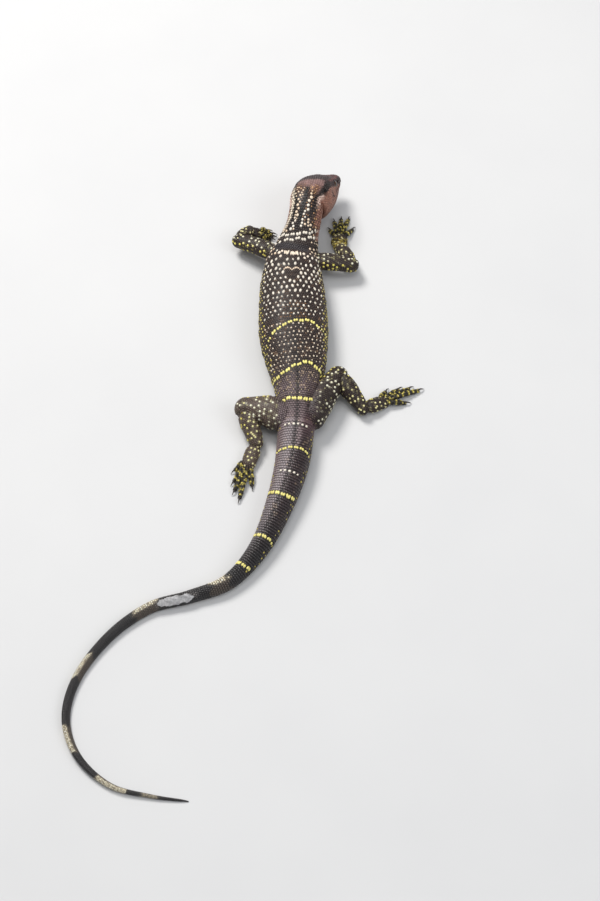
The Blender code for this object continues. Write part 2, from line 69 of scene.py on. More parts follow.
# Body section by distance from the snout: half width, height, depth and roundness.
SECTIONS = np.array((
    (0.00, 0.30, 0.25, 0.25, 1.00),
    (0.15, 0.95, 0.80, 0.65, 1.00),
    (0.55, 1.75, 1.50, 1.15, 0.95),
    (1.30, 2.50, 2.10, 1.60, 0.90),
    (2.50, 3.10, 2.65, 2.00, 0.87),
    (4.50, 3.70, 3.05, 2.40, 0.85),
    (7.00, 4.50, 3.60, 3.00, 0.82),
    (9.20, 5.15, 4.10, 3.50, 0.80),
    (11.5, 5.90, 4.60, 4.10, 0.79),
    (14.0, 6.80, 5.20, 4.90, 0.78),
    (17.0, 7.50, 5.50, 5.80, 0.78),
    (20.0, 7.90, 5.60, 6.50, 0.80),
    (23.0, 7.80, 5.50, 6.90, 0.83),
    (26.0, 7.10, 5.30, 6.80, 0.88),
    (30.0, 6.60, 5.20, 6.60, 0.94),
    (36.0, 6.70, 5.40, 6.60, 0.97),
    (44.0, 7.50, 6.10, 7.00, 0.97),
    (50.0, 9.20, 7.10, 7.80, 0.95),
    (57.0, 11.4, 8.60, 9.20, 0.93),
    (69.0, 13.7, 9.80, 10.1, 0.92),
    (83.0, 14.7, 10.3, 10.5, 0.92),
    (94.0, 15.0, 10.3, 10.5, 0.92),
    (104.0, 14.1, 9.90, 10.1, 0.92),
    (114.0, 12.3, 9.20, 9.50, 0.93),
    (124.0, 9.90, 8.40, 8.70, 0.94),
    (132.0, 8.50, 7.80, 8.10, 0.95),
    (142.0, 7.70, 7.30, 7.40, 0.96),
    (153.0, 7.50, 6.90, 6.90, 0.97),
    (166.0, 6.80, 6.40, 6.20, 1.00),
    (180.0, 5.80, 5.70, 5.40, 1.03),
    (196.0, 4.60, 5.00, 4.50, 1.06),
    (212.0, 3.60, 4.30, 3.70, 1.08),
    (228.0, 2.85, 3.60, 3.05, 1.10),
    (244.0, 2.40, 3.10, 2.65, 1.10),
    (262.0, 2.05, 2.70, 2.30, 1.10),
    (286.0, 1.80, 2.40, 2.05, 1.10),
    (312.0, 1.62, 2.18, 1.85, 1.10),
    (328.0, 1.45, 1.95, 1.65, 1.08),
    (343.0, 1.20, 1.60, 1.38, 1.06),
    (357.0, 0.95, 1.25, 1.08, 1.04),
    (368.0, 0.68, 0.88, 0.78, 1.00),
    (375.0, 0.42, 0.52, 0.48, 1.00),
    (377.5, 0.20, 0.22, 0.22, 1.00),
))
TAIL_END = 377.5
NECK_END, TRUNK_END = 53.0, 142.0

# Roll of the section about the spine in degrees: positive lifts the animal's right side.
ROLL = np.array((
    (0, 17), (23, 17), (31, 9), (40, 14), (48, 9), (56, 2), (66, 0),
    (150, 0), (215, 14), (250, 30), (330, 34), (378, 20),
), float)

# How far the loose skin of the throat hangs below the section.
POUCH = np.array((
    (0, 0), (1.5, 0.4), (4.5, 3.4), (8, 5.6), (13, 7.0), (19, 7.0), (27, 5.4), (36, 3.6), (46, 1.4), (55, 0),
), float)
POUCH_START = 0.35
POUCH_SPREAD = 0.32

MOUTH_TURN = math.radians(105)   # the mouth line's angle from the middle of the back
MOUTH_CORNER = 17.5
MOUTH_DEPTH = 0.5
EYE = (11.4, 4.2, 1.5)           # distance from the snout, to the side, over the spine line
EYE_RADIUS = 2.1
EYE_OPENING = (1.62, 1.42)       # half length and half height
NOSTRIL = (6.4, 1.5)             # distance from the snout, over the spine line
NOSTRIL_SIZE = (0.72, 0.42)
NOSTRIL_SLANT = math.radians(30)
EAR = (23.3, 0.9)
EAR_SIZE = (0.95, 1.5)

UPPER_FLATNESS = 0.87
LIMBS = {
    "fore_right": ((3.0, 92.5, 9.5), (22.8, 92.4, 6.8), (17.6, 105.2, 3.3),
                   (4.4, 4.2, 3.9, 3.7), (3.1, 3.6, 3.3, 2.6)),
    "fore_left": ((-8.0, 95.0, 9.6), (-27.2, 105.6, 6.8), (-23.0, 113.6, 3.4),
                  (4.4, 4.2, 3.8, 3.6), (3.0, 3.4, 3.1, 2.6)),
    "hind_right": ((3.6, 13.0, 7.6), (16.4, 32.4, 8.0), (27.2, 18.4, 3.8),
                   (7.6, 6.9, 5.6, 4.5), (3.7, 4.2, 3.5, 2.8)),
    "hind_left": ((-5.2, 12.8, 7.6), (-22.8, 16.0, 7.8), (-18.6, 1.4, 3.6),
                  (8.2, 7.7, 6.5, 5.2), (4.3, 4.7, 3.9, 3.0)),
}
# Heading in degrees, side of the first toe, sole length, half width, knuckle arch, toes (turn, length).
FEET = {
    "fore_right": (84.0, 1, 5.0, 3.8, 0.5, ((34, 6.0), (17, 9.0), (2, 10.2), (-12, 10.8), (-31, 7.4))),
    "fore_left": (-6.0, -1, 4.2, 2.8, 1.5, ((24, 3.0), (11, 3.8), (0, 4.2), (-11, 4.0), (-26, 3.2))),
    "hind_right": (29.0, 1, 9.6, 3.3, 0.5, ((28, 6.5), (13, 9.0), (3, 13.0), (-6, 16.4), (-24, 9.0))),
    "hind_left": (250.0, -1, 9.6, 3.3, 0.5, ((28, 6.5), (14, 9.0), (4, 12.6), (-7, 15.6), (-25, 9.0))),
}
TOE_RADII = (1.25, 1.1, 1.15, 0.9)
TOE_HEIGHT = 1.9
TOE_END = 0.75
HEEL_RADIUS = 2.0
CLAW_LENGTH = 3.0


# Lines and small sums

def hermite(xs, ys, at):
    """Values at the wanted places on a smooth line through the points (xs, ys): each slope is the
    chord of its two neighbours, held to three times the gentler side."""
    xs, ys = np.asarray(xs, float), np.asarray(ys, float)
    step = np.diff(xs)
    chord = np.diff(ys) / step
    slope = np.zeros(len(xs))
    slope[1:-1] = (chord[:-1] * step[1:] + chord[1:] * step[:-1]) / (step[:-1] + step[1:])
    slope[0], slope[-1] = chord[0], chord[-1]
    turning = chord[:-1] * chord[1:] <= 0
    slope[1:-1][turning] = 0
    least = 3 * np.minimum(abs(chord[:-1]), abs(chord[1:]))
    slope[1:-1] = np.clip(slope[1:-1], -least, least)
    i = np.clip(np.searchsorted(xs, at) - 1, 0, len(xs) - 2)
    t = np.clip((at - xs[i]) / step[i], 0, 1)
    rise = step[i]
    return (
        ys[i] * (1 + 2 * t) * (1 - t) ** 2
        + slope[i] * rise * t * (1 - t) ** 2
        + ys[i + 1] * t * t * (3 - 2 * t)
        - slope[i + 1] * rise * t * t * (1 - t)
    )


def through(points, count=24):
    """A Catmull-Rom line through the points, with count steps between neighbours."""
    p = np.asarray(points, float)
    p = np.vstack([2 * p[0] - p[1], p, 2 * p[-1] - p[-2]])
    t = np.linspace(0, 1, count, endpoint=False)[:, None]
    runs = [
        0.5 * (2 * b + (c - a) * t + (2 * a - 5 * b + 4 * c - d) * t**2
               + (3 * b - a - 3 * c + d) * t**3)
        for a, b, c, d in zip(p[:-3], p[1:-2], p[2:-1], p[3:])
    ]
    return np.vstack(runs + [p[-2][None]])


def lengths(line):
    """Distance along a line at each of its points."""
    return np.concatenate([[0], np.cumsum(np.linalg.norm(np.diff(line, axis=0), axis=1))])


def along(line, at, wanted):
    """Points of a line at the wanted distances."""
    return np.stack([np.interp(wanted, at, line[:, i]) for i in range(3)], axis=-1)


def unit(v):
    """Vectors made 1 long."""
    return v / np.maximum(np.linalg.norm(v, axis=-1, keepdims=True), 1e-9)


def hill(distance, width):
    """A smooth bump, 1 at its middle, that fades over its width."""
    return np.exp(-((distance / width) ** 2))


def ease(x):
    """0 below 0, 1 above 1, and a smooth step between."""
    x = np.clip(x, 0, 1)
    return x * x * (3 - 2 * x)


def window(x, low, high, soft=0.3):
    """1 between low and high, with soft edges, 0 outside."""
    return ease((x - low) / soft + 0.5) * ease((high - x) / soft + 0.5)


def chance(a, b, seed):
    """A fixed number from 0 to 1 for each pair of whole numbers: the broken part of a large sine."""
    return np.mod(np.sin(a * 12.9898 + b * 78.233 + seed * 37.719) * 43758.5453, 1.0)


def waves(x, y, size, seed):
    """Soft noise from about -1 to 1: a sum of plane waves of about that size in all directions."""
    rng = np.random.default_rng(seed)
    total = 0.0
    for _ in range(7):
        way, phase = rng.uniform(0, 2 * math.pi, 2)
        rate = 2 * math.pi / (size * rng.uniform(0.7, 1.6))
        total = total + np.sin(rate * (x * math.cos(way) + y * math.sin(way)) + phase)
    return total / 3.5


# The body's shape

def section_at(s):
    """Half width, height, depth and roundness of the body's section at distances s."""
    return [hermite(SECTIONS[:, 0], SECTIONS[:, i], s) for i in range(1, 5)]


def section_height(turn, tall, deep, round_):
    """How high the plain section's edge lies over the spine line, at angles turn from the top."""
    v = np.cos(turn)
    return np.where(v > 0, tall, deep) * np.sign(v) * abs(v) ** round_


def roll_at(s):
    """Roll of the section at distances s, in radians."""
    return np.radians(hermite(ROLL[:, 0], ROLL[:, 1], s))


def spine_line():
    """The spine's points in space: its plan, lifted so that each section's lowest point is pressed
    SINK into the floor, plus the lift that the table gives."""
    plan = through(SPINE)
    flat = plan.copy()
    flat[:, 2] = 0
    s = lengths(plan)
    s = s * TAIL_END / s[-1]
    wide, _, deep, _ = section_at(s)
    roll = roll_at(s)
    reach = np.sqrt((deep * np.cos(roll)) ** 2 + (wide * np.sin(roll)) ** 2)
    flat[:, 2] = reach - np.minimum(SINK, 0.3 * deep) + plan[:, 2]
    return flat


LINE = spine_line()
LINE_S = lengths(LINE) * TAIL_END / lengths(LINE)[-1]


def spine_frame(s):
    """Place, forward, right and up of the body's section at distances s."""
    reach = 1.2
    place = along(LINE, LINE_S, s)
    forward = unit(along(LINE, LINE_S, s - reach) - along(LINE, LINE_S, s + reach))
    right = unit(np.cross(forward, (0, 0, 1)))
    up = np.cross(right, forward)
    roll = roll_at(s)[..., None]
    return place, forward, right * np.cos(roll) + up * np.sin(roll), up * np.cos(roll) - right * np.sin(roll)


def pressed(points):
    """Points kept above the floor: each height eases into FLOOR_ROOM instead of passing below it."""
    z = points[..., 2] - FLOOR_ROOM
    points[..., 2] = FLOOR_ROOM + 0.5 * (z + np.sqrt(z * z + FLOOR_EASE))
    return points


def eye_share(s, high):
    """How far a place lies from the middle of the eye, where 1 is the edge of the lids' opening."""
    return np.hypot((s - EYE[0]) / EYE_OPENING[0], (high - EYE[2]) / EYE_OPENING[1])


def ear_share(s, high):
    """How far a place lies from the middle of the ear, where 1 is the edge of its hollow."""
    return np.hypot((s - EAR[0]) / EAR_SIZE[0], (high - EAR[1]) / EAR_SIZE[1])


def head_relief(s, side, high, fold, reach):
    """How far the head stands out of its plain section: each line adds or takes a soft bump, as
    high as its first number. fold is the angle from the middle of the back."""
    x = abs(side)
    flank = np.clip(x / 3.0, 0, 1)
    eye, ear = eye_share(s, high), ear_share(s, high)
    back, over = s - NOSTRIL[0], high - NOSTRIL[1]
    nostril = np.hypot(
        (back * math.cos(NOSTRIL_SLANT) + over * math.sin(NOSTRIL_SLANT)) / NOSTRIL_SIZE[0],
        (over * math.cos(NOSTRIL_SLANT) - back * math.sin(NOSTRIL_SLANT)) / NOSTRIL_SIZE[1],
    )
    # The brow, the cheek, the lids and the fold over them, and the eye's hollow
    out = 0.55 * hill(s - 10.8, 3.4) * hill(x - 4.1, 1.3) * hill(high - 3.6, 1.3)
    out += 0.55 * hill(s - 18.5, 3.6) * hill(high + 0.2, 2.8) * flank
    out += 0.40 * hill(eye - 1.22, 0.24) * flank
    out += 0.16 * hill(eye - 1.75, 0.2) * flank * (high > EYE[2])
    out -= 1.55 * ease((1.08 - eye) / 0.3) * flank
    # The hollow before the eye, the dip of the crown, and the rims and hollows of nostril and ear
    out -= 0.28 * hill(s - 7.8, 1.9) * hill(high - 1.5, 0.9) * flank
    out -= 0.25 * hill(s - 15.0, 5.0) * hill(x, 2.2) * (high > 0)
    out += 0.14 * hill(nostril - 1.5, 0.4) * flank
    out -= 0.85 * ease((1.15 - nostril) / 0.5) * flank
    out += 0.22 * hill(ear - 1.3, 0.3) * flank
    out -= 1.15 * ease((1.1 - ear) / 0.45) * flank
    # The lips, the mouth line and the groove under it
    lip = (fold - MOUTH_TURN) * reach
    mouth = np.clip((MOUTH_CORNER - s) / 1.2, 0, 1) * np.clip(s / 0.8, 0.35, 1)
    out += 0.2 * hill(abs(lip) - 0.85, 0.55) * mouth
    out -= MOUTH_DEPTH * hill(lip, 0.24) * mouth
    out -= 0.22 * hill(lip - 1.9, 0.35) * mouth
    return out * np.clip((27.0 - s) / 3.0, 0, 1)


def body_relief(s, turn, reach):
    """Folds and bones of the neck, trunk and tail, as soft bumps and grooves."""
    fold = abs(turn)
    # Long folds beside the throat, then the fold before the shoulders and the grooves of the collar
    neck = window(s, 27, 50, 5)
    out = 0.2 * neck * np.sin(fold * reach * 2.1 + 0.35 * np.sin(s * 0.5)) * window(fold, 1.25, 2.6, 0.5)
    out -= 0.4 * hill(s - 51.3 - 1.6 * fold, 1.1) * window(fold, 0.9, 3.3, 0.8)
    out += 0.3 * hill(s - 54.6 - 1.6 * fold, 1.6) * window(fold, 0.9, 3.3, 0.8)
    out -= 0.14 * hill(s - 51.0, 0.5) + 0.14 * hill(s - 55.6, 0.5)
    # The fold along the flank and the ribs' ripples
    flank = window(s, 64, 126, 12)
    out += 0.22 * flank * hill(fold - 1.72, 0.2) * (1 + 0.5 * np.sin(s * 0.8))
    out -= 0.3 * flank * hill(fold - 1.98, 0.16)
    out += 0.1 * flank * np.sin(s * 1.25 + 5.0 * fold) * window(fold, 1.2, 2.3, 0.5)
    # The hips, the groove along the tail's root and the crest behind it
    out += 0.35 * hill(s - 133, 4.5) * hill(fold - 0.72, 0.3)
    out -= 0.22 * window(s, 128, 205, 14) * hill(turn * reach, 0.55)
    out += 0.16 * window(s, 196, 372, 24) * hill(abs(turn * reach) - 0.45, 0.35)
    return out


def body_points(s, turn):
    """Points of the body's skin at distances s and at angles turn from the middle of the back, to
    the animal's right: a superellipse in each section, its lower part lengthened by the throat's
    pouch, moved in or out along its own radius by the reliefs."""
    s, turn = np.broadcast_arrays(np.asarray(s, float), np.asarray(turn, float))
    wide, tall, deep, round_ = section_at(s)
    c, v = np.sin(turn), np.cos(turn)
    side = wide * np.sign(c) * abs(c) ** round_
    high = section_height(turn, tall, deep, round_)
    sag = ease((-v - POUCH_START) / (1 - POUCH_START))
    loose = hermite(POUCH[:, 0], POUCH[:, 1], s)
    high = high - loose * sag
    side = side + np.sign(c) * POUCH_SPREAD * loose * hill(v + 0.62, 0.38)
    reach = np.hypot(side, high)
    fold = abs(np.mod(turn + math.pi, 2 * math.pi) - math.pi)
    out = head_relief(s, side, high, fold, reach) + body_relief(s, np.sign(turn) * fold, reach)
    out = (out - INSET) * np.clip(reach / 1.2, 0, 1)
    side, high = side * (1 + out / reach), high * (1 + out / reach)
    place, _, right, up = spine_frame(s)
    return pressed(place + side[..., None] * right + high[..., None] * up)


# Girth: half the way round the body, from the middle of the back to the middle of the belly
RING = np.linspace(-math.pi, math.pi, 361)
GIRTH_S = np.linspace(0.3, 377.0, 700)


def ring_arcs(s):
    """For each distance s, the way round the skin from the middle of the back at each angle RING."""
    grid = body_points(np.asarray(s)[:, None], RING[None, :])
    step = np.linalg.norm(np.diff(grid, axis=1), axis=2)
    arcs = np.concatenate([np.zeros((len(step), 1)), np.cumsum(step, axis=1)], axis=1)
    return arcs - arcs[:, [180]]


HALF_GIRTH = 0.5 * np.ptp(ring_arcs(GIRTH_S), axis=1)


def half_girth(s):
    """Half the way round the body at distances s."""
    return np.interp(s, GIRTH_S, HALF_GIRTH)


class Tube:
    """A round-ended tube along a smooth line, for limbs, soles and toes."""

    def __init__(self, line, radii, flat=1.0, joints=0):
        self.line = through(line, 12)
        self.at = lengths(self.line)
        self.length = self.at[-1]
        self.radii = np.array(radii) - 0.8 * INSET
        self.flat = flat
        self.joints = joints

    def radius(self, x):
        """Half width at distance x, with a soft swelling at each toe joint."""
        share = np.clip(x / self.length, 0, 1)
        plain = hermite(np.linspace(0, 1, len(self.radii)), self.radii, share)
        if not self.joints:
            return plain
        return plain * (1 + 0.07 * np.cos(2 * math.pi * self.joints * (share - 0.08)))

    def points(self, x, turn):
        """Points at distance x along and angle turn round from the top. Past either end, x goes on
        as a way over the round cap."""
        x, turn = np.broadcast_arrays(np.asarray(x, float), np.asarray(turn, float))
        inner = np.clip(x, 0, self.length)
        radius = self.radius(inner)
        lean = np.clip((x - inner) / radius, -1.5, 1.5)
        ahead = along(self.line, self.at, np.clip(inner + 0.5, 0, self.length))
        way = unit(ahead - along(self.line, self.at, np.clip(inner - 0.5, 0, self.length)))
        right = unit(np.cross((0, 0, 1), way))
        up = np.cross(way, right)
        centre = along(self.line, self.at, inner) + way * (radius * np.sin(lean))[..., None]
        r = (radius * np.cos(lean))[..., None]
        turn = turn[..., None]
        return pressed(centre + r * np.sin(turn) * right + r * self.flat * np.cos(turn) * up)

    def reach(self):
        """The first and last distance, over both caps."""
        return -1.45 * self.radius(0.0), self.length + 1.45 * self.radius(self.length)


def limb_tubes():
    """Every limb's tubes by name: upper, lower, sole and five toes, and each toe's claw line."""
    tubes, claws = {}, []
    for name, (root, bend, end, upper, lower) in LIMBS.items():
        root, bend, end = map(np.array, (root, bend, end))
        tubes[name, "upper"] = Tube([root, (root + bend) / 2 + (0, 0, 0.6), bend], upper, UPPER_FLATNESS)
        tubes[name, "lower"] = Tube([bend, (bend + end) / 2 + (0, 0, 0.5), end], lower)
        heading, first_side, sole, half, arch, toes = FEET[name]
        way = np.array([math.cos(math.radians(heading)), math.sin(math.radians(heading)), 0])
        front = end + way * sole
        front[2] = TOE_HEIGHT
        middle = (end + front) / 2
        tubes[name, "sole"] = Tube([end, middle, front], (HEEL_RADIUS, half, half * 0.94), 0.72)
        for number, (turn, length) in enumerate(toes):
            a = math.radians(heading + first_side * turn)
            out = np.array([math.cos(a), math.sin(a), 0])
            back = 0.22 * sole if abs(turn) > 25 else 0
            start = middle + (front - middle) * 0.6 + out * 1.2 - way * back
            start[2] = TOE_HEIGHT
            knuckle = start + out * (0.45 * length + 0.9) + (0, 0, arch)
            tip = start + out * (length + 1.2)
            tip[2] = TOE_END + 0.1
            joints = max(2, round(length / 3.2))
            tubes[name, f"toe_{number}"] = Tube([start, knuckle, tip], TOE_RADII, 0.95, joints)
            point = tip + out * CLAW_LENGTH
            point[2] = 0.22
            claws.append((tip - out * 0.7 + (0, 0, 0.12), tip + out * 0.9 + (0, 0, 0.75), point))
    return tubes, claws


TUBES, CLAWS = limb_tubes()


def eye_places():
    """For each eye its middle and the directions out, up and ahead."""
    place, ahead, right, up = spine_frame(np.array(EYE[0]))
    return {
        name: (place + side * EYE[1] * right + EYE[2] * up, side * right, up, ahead)
        for side, name in ((1, "eye_right"), (-1, "eye_left"))
    }


# Where the plan's origin lies in the frame, by the right eye's place in both
EYE_PLACES = eye_places()
low_eye, high_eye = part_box("eye_right")
SHIFT = EYE_PLACES["eye_right"][0] - np.array((low_eye + high_eye) / 2) / MM
SHIFT[2] = 0.0


def closest(points, cloud, scale=1.0):
    """For each point, the number of the closest point of the cloud and its distance, divided by the
    cloud's own scale there."""
    middle = cloud.mean(axis=0)
    p, c = (points - middle).astype(np.float32), (cloud - middle).astype(np.float32)
    norm = (c * c).sum(axis=1)
    weight = np.broadcast_to(np.float32(1.0) / np.asarray(scale, np.float32) ** 2, norm.shape)
    best, gap = np.empty(len(p), int), np.empty(len(p))
    for part in np.array_split(np.arange(len(p)), len(p) * len(c) // 8_000_000 + 1):
        squares = ((p[part] ** 2).sum(axis=1)[:, None] + norm - 2 * (p[part] @ c.T)) * weight
        best[part] = squares.argmin(axis=1)
        gap[part] = np.sqrt(np.maximum(squares.min(axis=1), 0))
    return best, gap


# Meshes

def in_frame(points):
    """Plan millimetres to the frame's metres."""
    return (np.asarray(points) - SHIFT) * MM


def add_object(name, data):
    """A new object in the scene for a mesh, a light or a camera."""
    ob = bpy.data.objects.new(name, data)
    bpy.context.scene.collection.objects.link(ob)
    return ob


def make_mesh(name, points, faces):
    """An object from points in plan millimetres and arrays of faces."""
    mesh = bpy.data.meshes.new(name)
    polygons = [face for group in faces for face in np.asarray(group).tolist()]
    mesh.from_pydata(in_frame(points).tolist(), [], polygons)
    mesh.shade_smooth()
    return add_object(name, mesh)


def put_attribute(mesh, name, kind, values):
    """Stores one value for each vertex: a number, a vector or a colour."""
    attribute = mesh.attributes.new(name, kind, "POINT")
    field = {"FLOAT": "value", "FLOAT_VECTOR": "vector", "FLOAT_COLOR": "color"}[kind]
    values = np.asarray(values, np.float32)
    if kind == "FLOAT_COLOR":
        values = np.concatenate([values, np.ones((len(values), 1), np.float32)], axis=1)
    attribute.data.foreach_set(field, np.ascontiguousarray(values).ravel())


def read_all(items, field, width, kind=np.float32):
    """One field of every vertex, edge or corner, with width values for each."""
    values = np.empty(len(items) * width, kind)
    items.foreach_get(field, values)
    return values.reshape(-1, width)


def tube_faces(rings, sides):
    """Faces of a closed tube of rings, with a fan over each end. The two fan points come last."""
    i, j = np.arange(rings - 1)[:, None], np.arange(sides)[None, :]
    k = (j + 1) % sides
    walls = np.stack([i * sides + j, (i + 1) * sides + j, (i + 1) * sides + k, i * sides + k], -1)
    j, k = j[0], k[0]
    first, last = rings * sides, rings * sides + 1
    end = (rings - 1) * sides
    fans = np.concatenate([
        np.stack([np.full(sides, first), j, k], -1),
        np.stack([np.full(sides, last), end + k, end + j], -1),
    ])
    return walls.reshape(-1, 4), fans


def closed_grid(grid):
    """Points of a grid of rings and the two middles of its ends."""
    return np.concatenate([grid.reshape(-1, 3), grid[:1].mean(axis=1), grid[-1:].mean(axis=1)])


def skin_shell(name, grid, part, x, arc):
    """A closed shell over a grid of rings, which remembers its part, distance and way round."""
    ob = make_mesh(name, closed_grid(grid), tube_faces(*grid.shape[:2]))
    ends = lambda v: np.concatenate([v.ravel(), [v[0, 0], v[-1, 0]]])
    put_attribute(ob.data, "home", "FLOAT_VECTOR", in_frame(closed_grid(grid)))
    coords = np.stack([ends(x), ends(arc), np.full(x.size + 2, float(part))], axis=1)
    put_attribute(ob.data, "place", "FLOAT_VECTOR", coords)
    return ob


def body_shell():
    """The body as one shell, with its rings closest on the head and its columns closest at the lips."""
    s = np.concatenate([
        (0.02, 0.08, 0.18, 0.32, 0.5), np.arange(0.75, 27.0, 0.29), np.arange(27.2, 53, 0.7),
        np.arange(53.2, 142, 1.1), np.arange(142.5, 372, 1.4), (373, 374, 375, 376, 377, 377.5),
    ])
    turn = np.arange(-45, 46) * 2 * math.pi / 92
    lips = MOUTH_TURN + np.radians((-2.6, -1.3, 0.0, 1.3, 2.6))
    turn = np.concatenate([turn, lips, -lips, [math.pi]])
    turn = np.unique(np.round(turn, 4))
    grid = body_points(s[:, None], turn[None, :])
    step = np.linalg.norm(np.diff(grid, axis=1), axis=2)
    arc = np.concatenate([np.zeros((len(s), 1)), np.cumsum(step, axis=1)], axis=1)
    arc = arc - arc[:, [int(np.argmin(abs(turn)))]]
    # The grid's faces point outwards when its columns run the other way round
    grid, arc = grid[:, ::-1], arc[:, ::-1]
    return skin_shell("body shell", grid, 0, np.broadcast_to(s[:, None], arc.shape), arc)


def limb_shells():
    """A shell for each tube of each limb."""
    shells = []
    for number, ((limb, kind), tube) in enumerate(TUBES.items()):
        fine = {"upper": (1.1, 32), "lower": (0.85, 26), "sole": (0.8, 22)}.get(kind, (0.62, 12))
        low, high = tube.reach()
        x = np.linspace(low, high, max(6, round((high - low) / fine[0])))
        turn = np.linspace(-math.pi, math.pi, fine[1], endpoint=False)[::-1]
        grid = tube.points(x[:, None], turn[None, :])
        arc = tube.radius(np.clip(x, 0, tube.length))[:, None] * turn[None, :]
        x = np.broadcast_to(x[:, None], arc.shape)
        shells.append(skin_shell(f"{limb} {kind}", grid, number + 1, x, arc))
    return shells


# How near a limb's root, elbow and foot a seam has to be to count as theirs, how far the smoothing goes
# from the seam at a root, at a bend and elsewhere, and its rounds and strength.
ROOTS_REACH, BENDS_REACH, ENDS_REACH = 13, 6.5, 3.5
ROOT_SMOOTH, BEND_SMOOTH, TOE_SMOOTH = 3.4, 1.5, 0.8
SMOOTH_ROUNDS, SMOOTH_STEP = 26, 0.6


def joined_skin():
    """All shells made one closed surface, then smoothed where two of them meet, most at the
    shoulders and hips."""
    body, limbs = body_shell(), limb_shells()
    group = bpy.data.collections.new("limb shells")
    for ob in limbs:
        group.objects.link(ob)
    mod = body.modifiers.new("join", "BOOLEAN")
    mod.operand_type, mod.operation, mod.solver = "COLLECTION", "UNION", "MANIFOLD"
    mod.collection = group
    bpy.context.view_layer.update()
    mesh = bpy.data.meshes.new_from_object(body.evaluated_get(bpy.context.evaluated_depsgraph_get()))
    bpy.data.collections.remove(group)
    for ob in (body, *limbs):
        bpy.data.objects.remove(ob)
    mesh.name = "skin"
    points = read_all(mesh.vertices, "co", 3).astype(float) / MM + SHIFT
    home = read_all(mesh.attributes["home"].data, "vector", 3).astype(float) / MM + SHIFT
    seam = points[np.linalg.norm(points - home, axis=1) > 0.01]
    roots, bends, ends = [np.array([LIMBS[n][i] for n in LIMBS]) for i in range(3)]
    near = lambda places: closest(seam, places)[1]
    width = np.where(near(roots) < ROOTS_REACH, ROOT_SMOOTH, TOE_SMOOTH)
    width = np.where((near(bends) < BENDS_REACH) | (near(ends) < ENDS_REACH), BEND_SMOOTH, width)
    weight = ease(1.25 * (1 - closest(points, seam[::2], width[::2])[1]))
    edges = read_all(mesh.edges, "vertices", 2, np.int32)
    a, b = np.concatenate([edges, edges[:, ::-1]]).T
    degree = np.bincount(a, minlength=len(points))[:, None]
    for _ in range(SMOOTH_ROUNDS):
        mean = np.stack([np.bincount(a, points[b, i], len(points)) for i in range(3)], axis=1) / degree
        points += SMOOTH_STEP * weight[:, None] * (mean - points)
    mesh.vertices.foreach_set("co", in_frame(points).astype(np.float32).ravel())
    mesh.attributes.remove(mesh.attributes["home"])
    mesh.shade_smooth()
    return add_object("skin", mesh), points, seam


# Colours. Each is written as it looks on a screen, from 0 to 255, and kept as light.

def shade(r, g, b):
    """The light of a colour, from 0 to 1 in each part."""
    v = np.array((r, g, b)) / 255
    return np.where(v <= 0.04045, v / 12.92, ((v + 0.055) / 1.055) ** 2.4)


STRIPE = shade(20, 15, 14)
CROWN = shade(135, 106, 102)
MASK = shade(46, 26, 26)
# painted reflection: a grey sheen of the sky on the left of the dark snout mask
MASK_SHEEN = shade(60, 49, 51)
SNOUT = shade(88, 48, 47)
SNOUT_RIDGE = shade(128, 80, 76)
LIP = shade(108, 76, 70)
CHEEK = shade(158, 112, 94)
CHEEK_LIGHT = shade(238, 206, 192)
# painted shade: a dark line in the crease at the mouth's corner
CHEEK_FOLD_SHADE = shade(64, 38, 33)
THROAT = shade(112, 77, 66)
EYE_STRIPE = shade(31, 20, 17)
NAPE_PATCH = shade(112, 76, 58)
NAPE_STOPS = ((26, shade(96, 66, 48)), (31, shade(66, 46, 37)), (40, shade(56, 41, 34)))
NECK_BACK = shade(52, 41, 37)
NECK_LINE = shade(240, 226, 204)
BACK = shade(52, 40, 36)
BACK_FLECK = shade(150, 118, 90)
COLLAR = shade(44, 38, 41)
FLANK = shade(50, 39, 32)
BELLY = shade(206, 192, 166)
BELLY_BAR = shade(92, 80, 70)
RUMP = shade(104, 90, 92)
RUMP_DOT = shade(170, 148, 126)
RUMP_SHADOW = (0.48, 0.42, 0.42)     # what is left of the light on the right half
# painted shade on the tail's right half, and a painted sheen on its left half
TAIL_SHADOW = (0.42, 0.31, 0.34)
TAIL_SHEEN = (0.20, 0.40, 0.42)      # how much lighter the left half is
TAIL_DARK = shade(34, 31, 32)
TAIL_FLECK = shade(150, 130, 110)
TAIL_TICK = shade(138, 133, 128)
TAIL_CREAM = shade(240, 228, 198)
TAIL_DUSK = shade(86, 76, 66)
TAIL_WORN = shade(120, 116, 114)
LIMB = shade(50, 37, 31)
# painted light: the left hind limb lighter, as lit, and the right hind limb darker, as shaded
LIMB_LIT_AND_SHADED = {"hind_left": shade(88, 74, 65), "hind_right": shade(44, 31, 25)}
LIMB_WHITE = shade(222, 218, 192)
LIMB_YELLOW = shade(224, 208, 104)
LIMB_DOT = shade(158, 152, 112)
LIMB_UNDER = shade(128, 116, 92)
WRIST = shade(226, 202, 78)
TOE_DARK = shade(36, 33, 28)
TOE_UNDER = shade(70, 60, 48)
WHITE_BEAD = shade(240, 232, 216)
ORANGE_BEAD = shade(208, 162, 118)
CREAM_BEAD = shade(236, 212, 184)
DUN_BEAD = shade(232, 206, 176)
GOLD_BEAD = shade(216, 198, 104)
PALE_BEAD = shade(228, 214, 178)
RUST_BEAD = shade(190, 138, 88)
RUMP_BEAD = shade(206, 184, 156)
RIBBON = shade(244, 228, 206)
RIBBON_END = shade(238, 222, 202)
HUMP = shade(236, 212, 186)
BAND_YELLOW = shade(252, 240, 142)
TINT_RANGE = (0.003, 0.95)           # the darkest and lightest tint that a mesh carries


def layered(base, *layers):
    """Colours laid over a base in turn: each layer is a colour and its mask, 1 where it shows."""
    for colour, mask in layers:
        base = base + (colour - base) * np.clip(mask, 0, 1)[:, None]
    return base


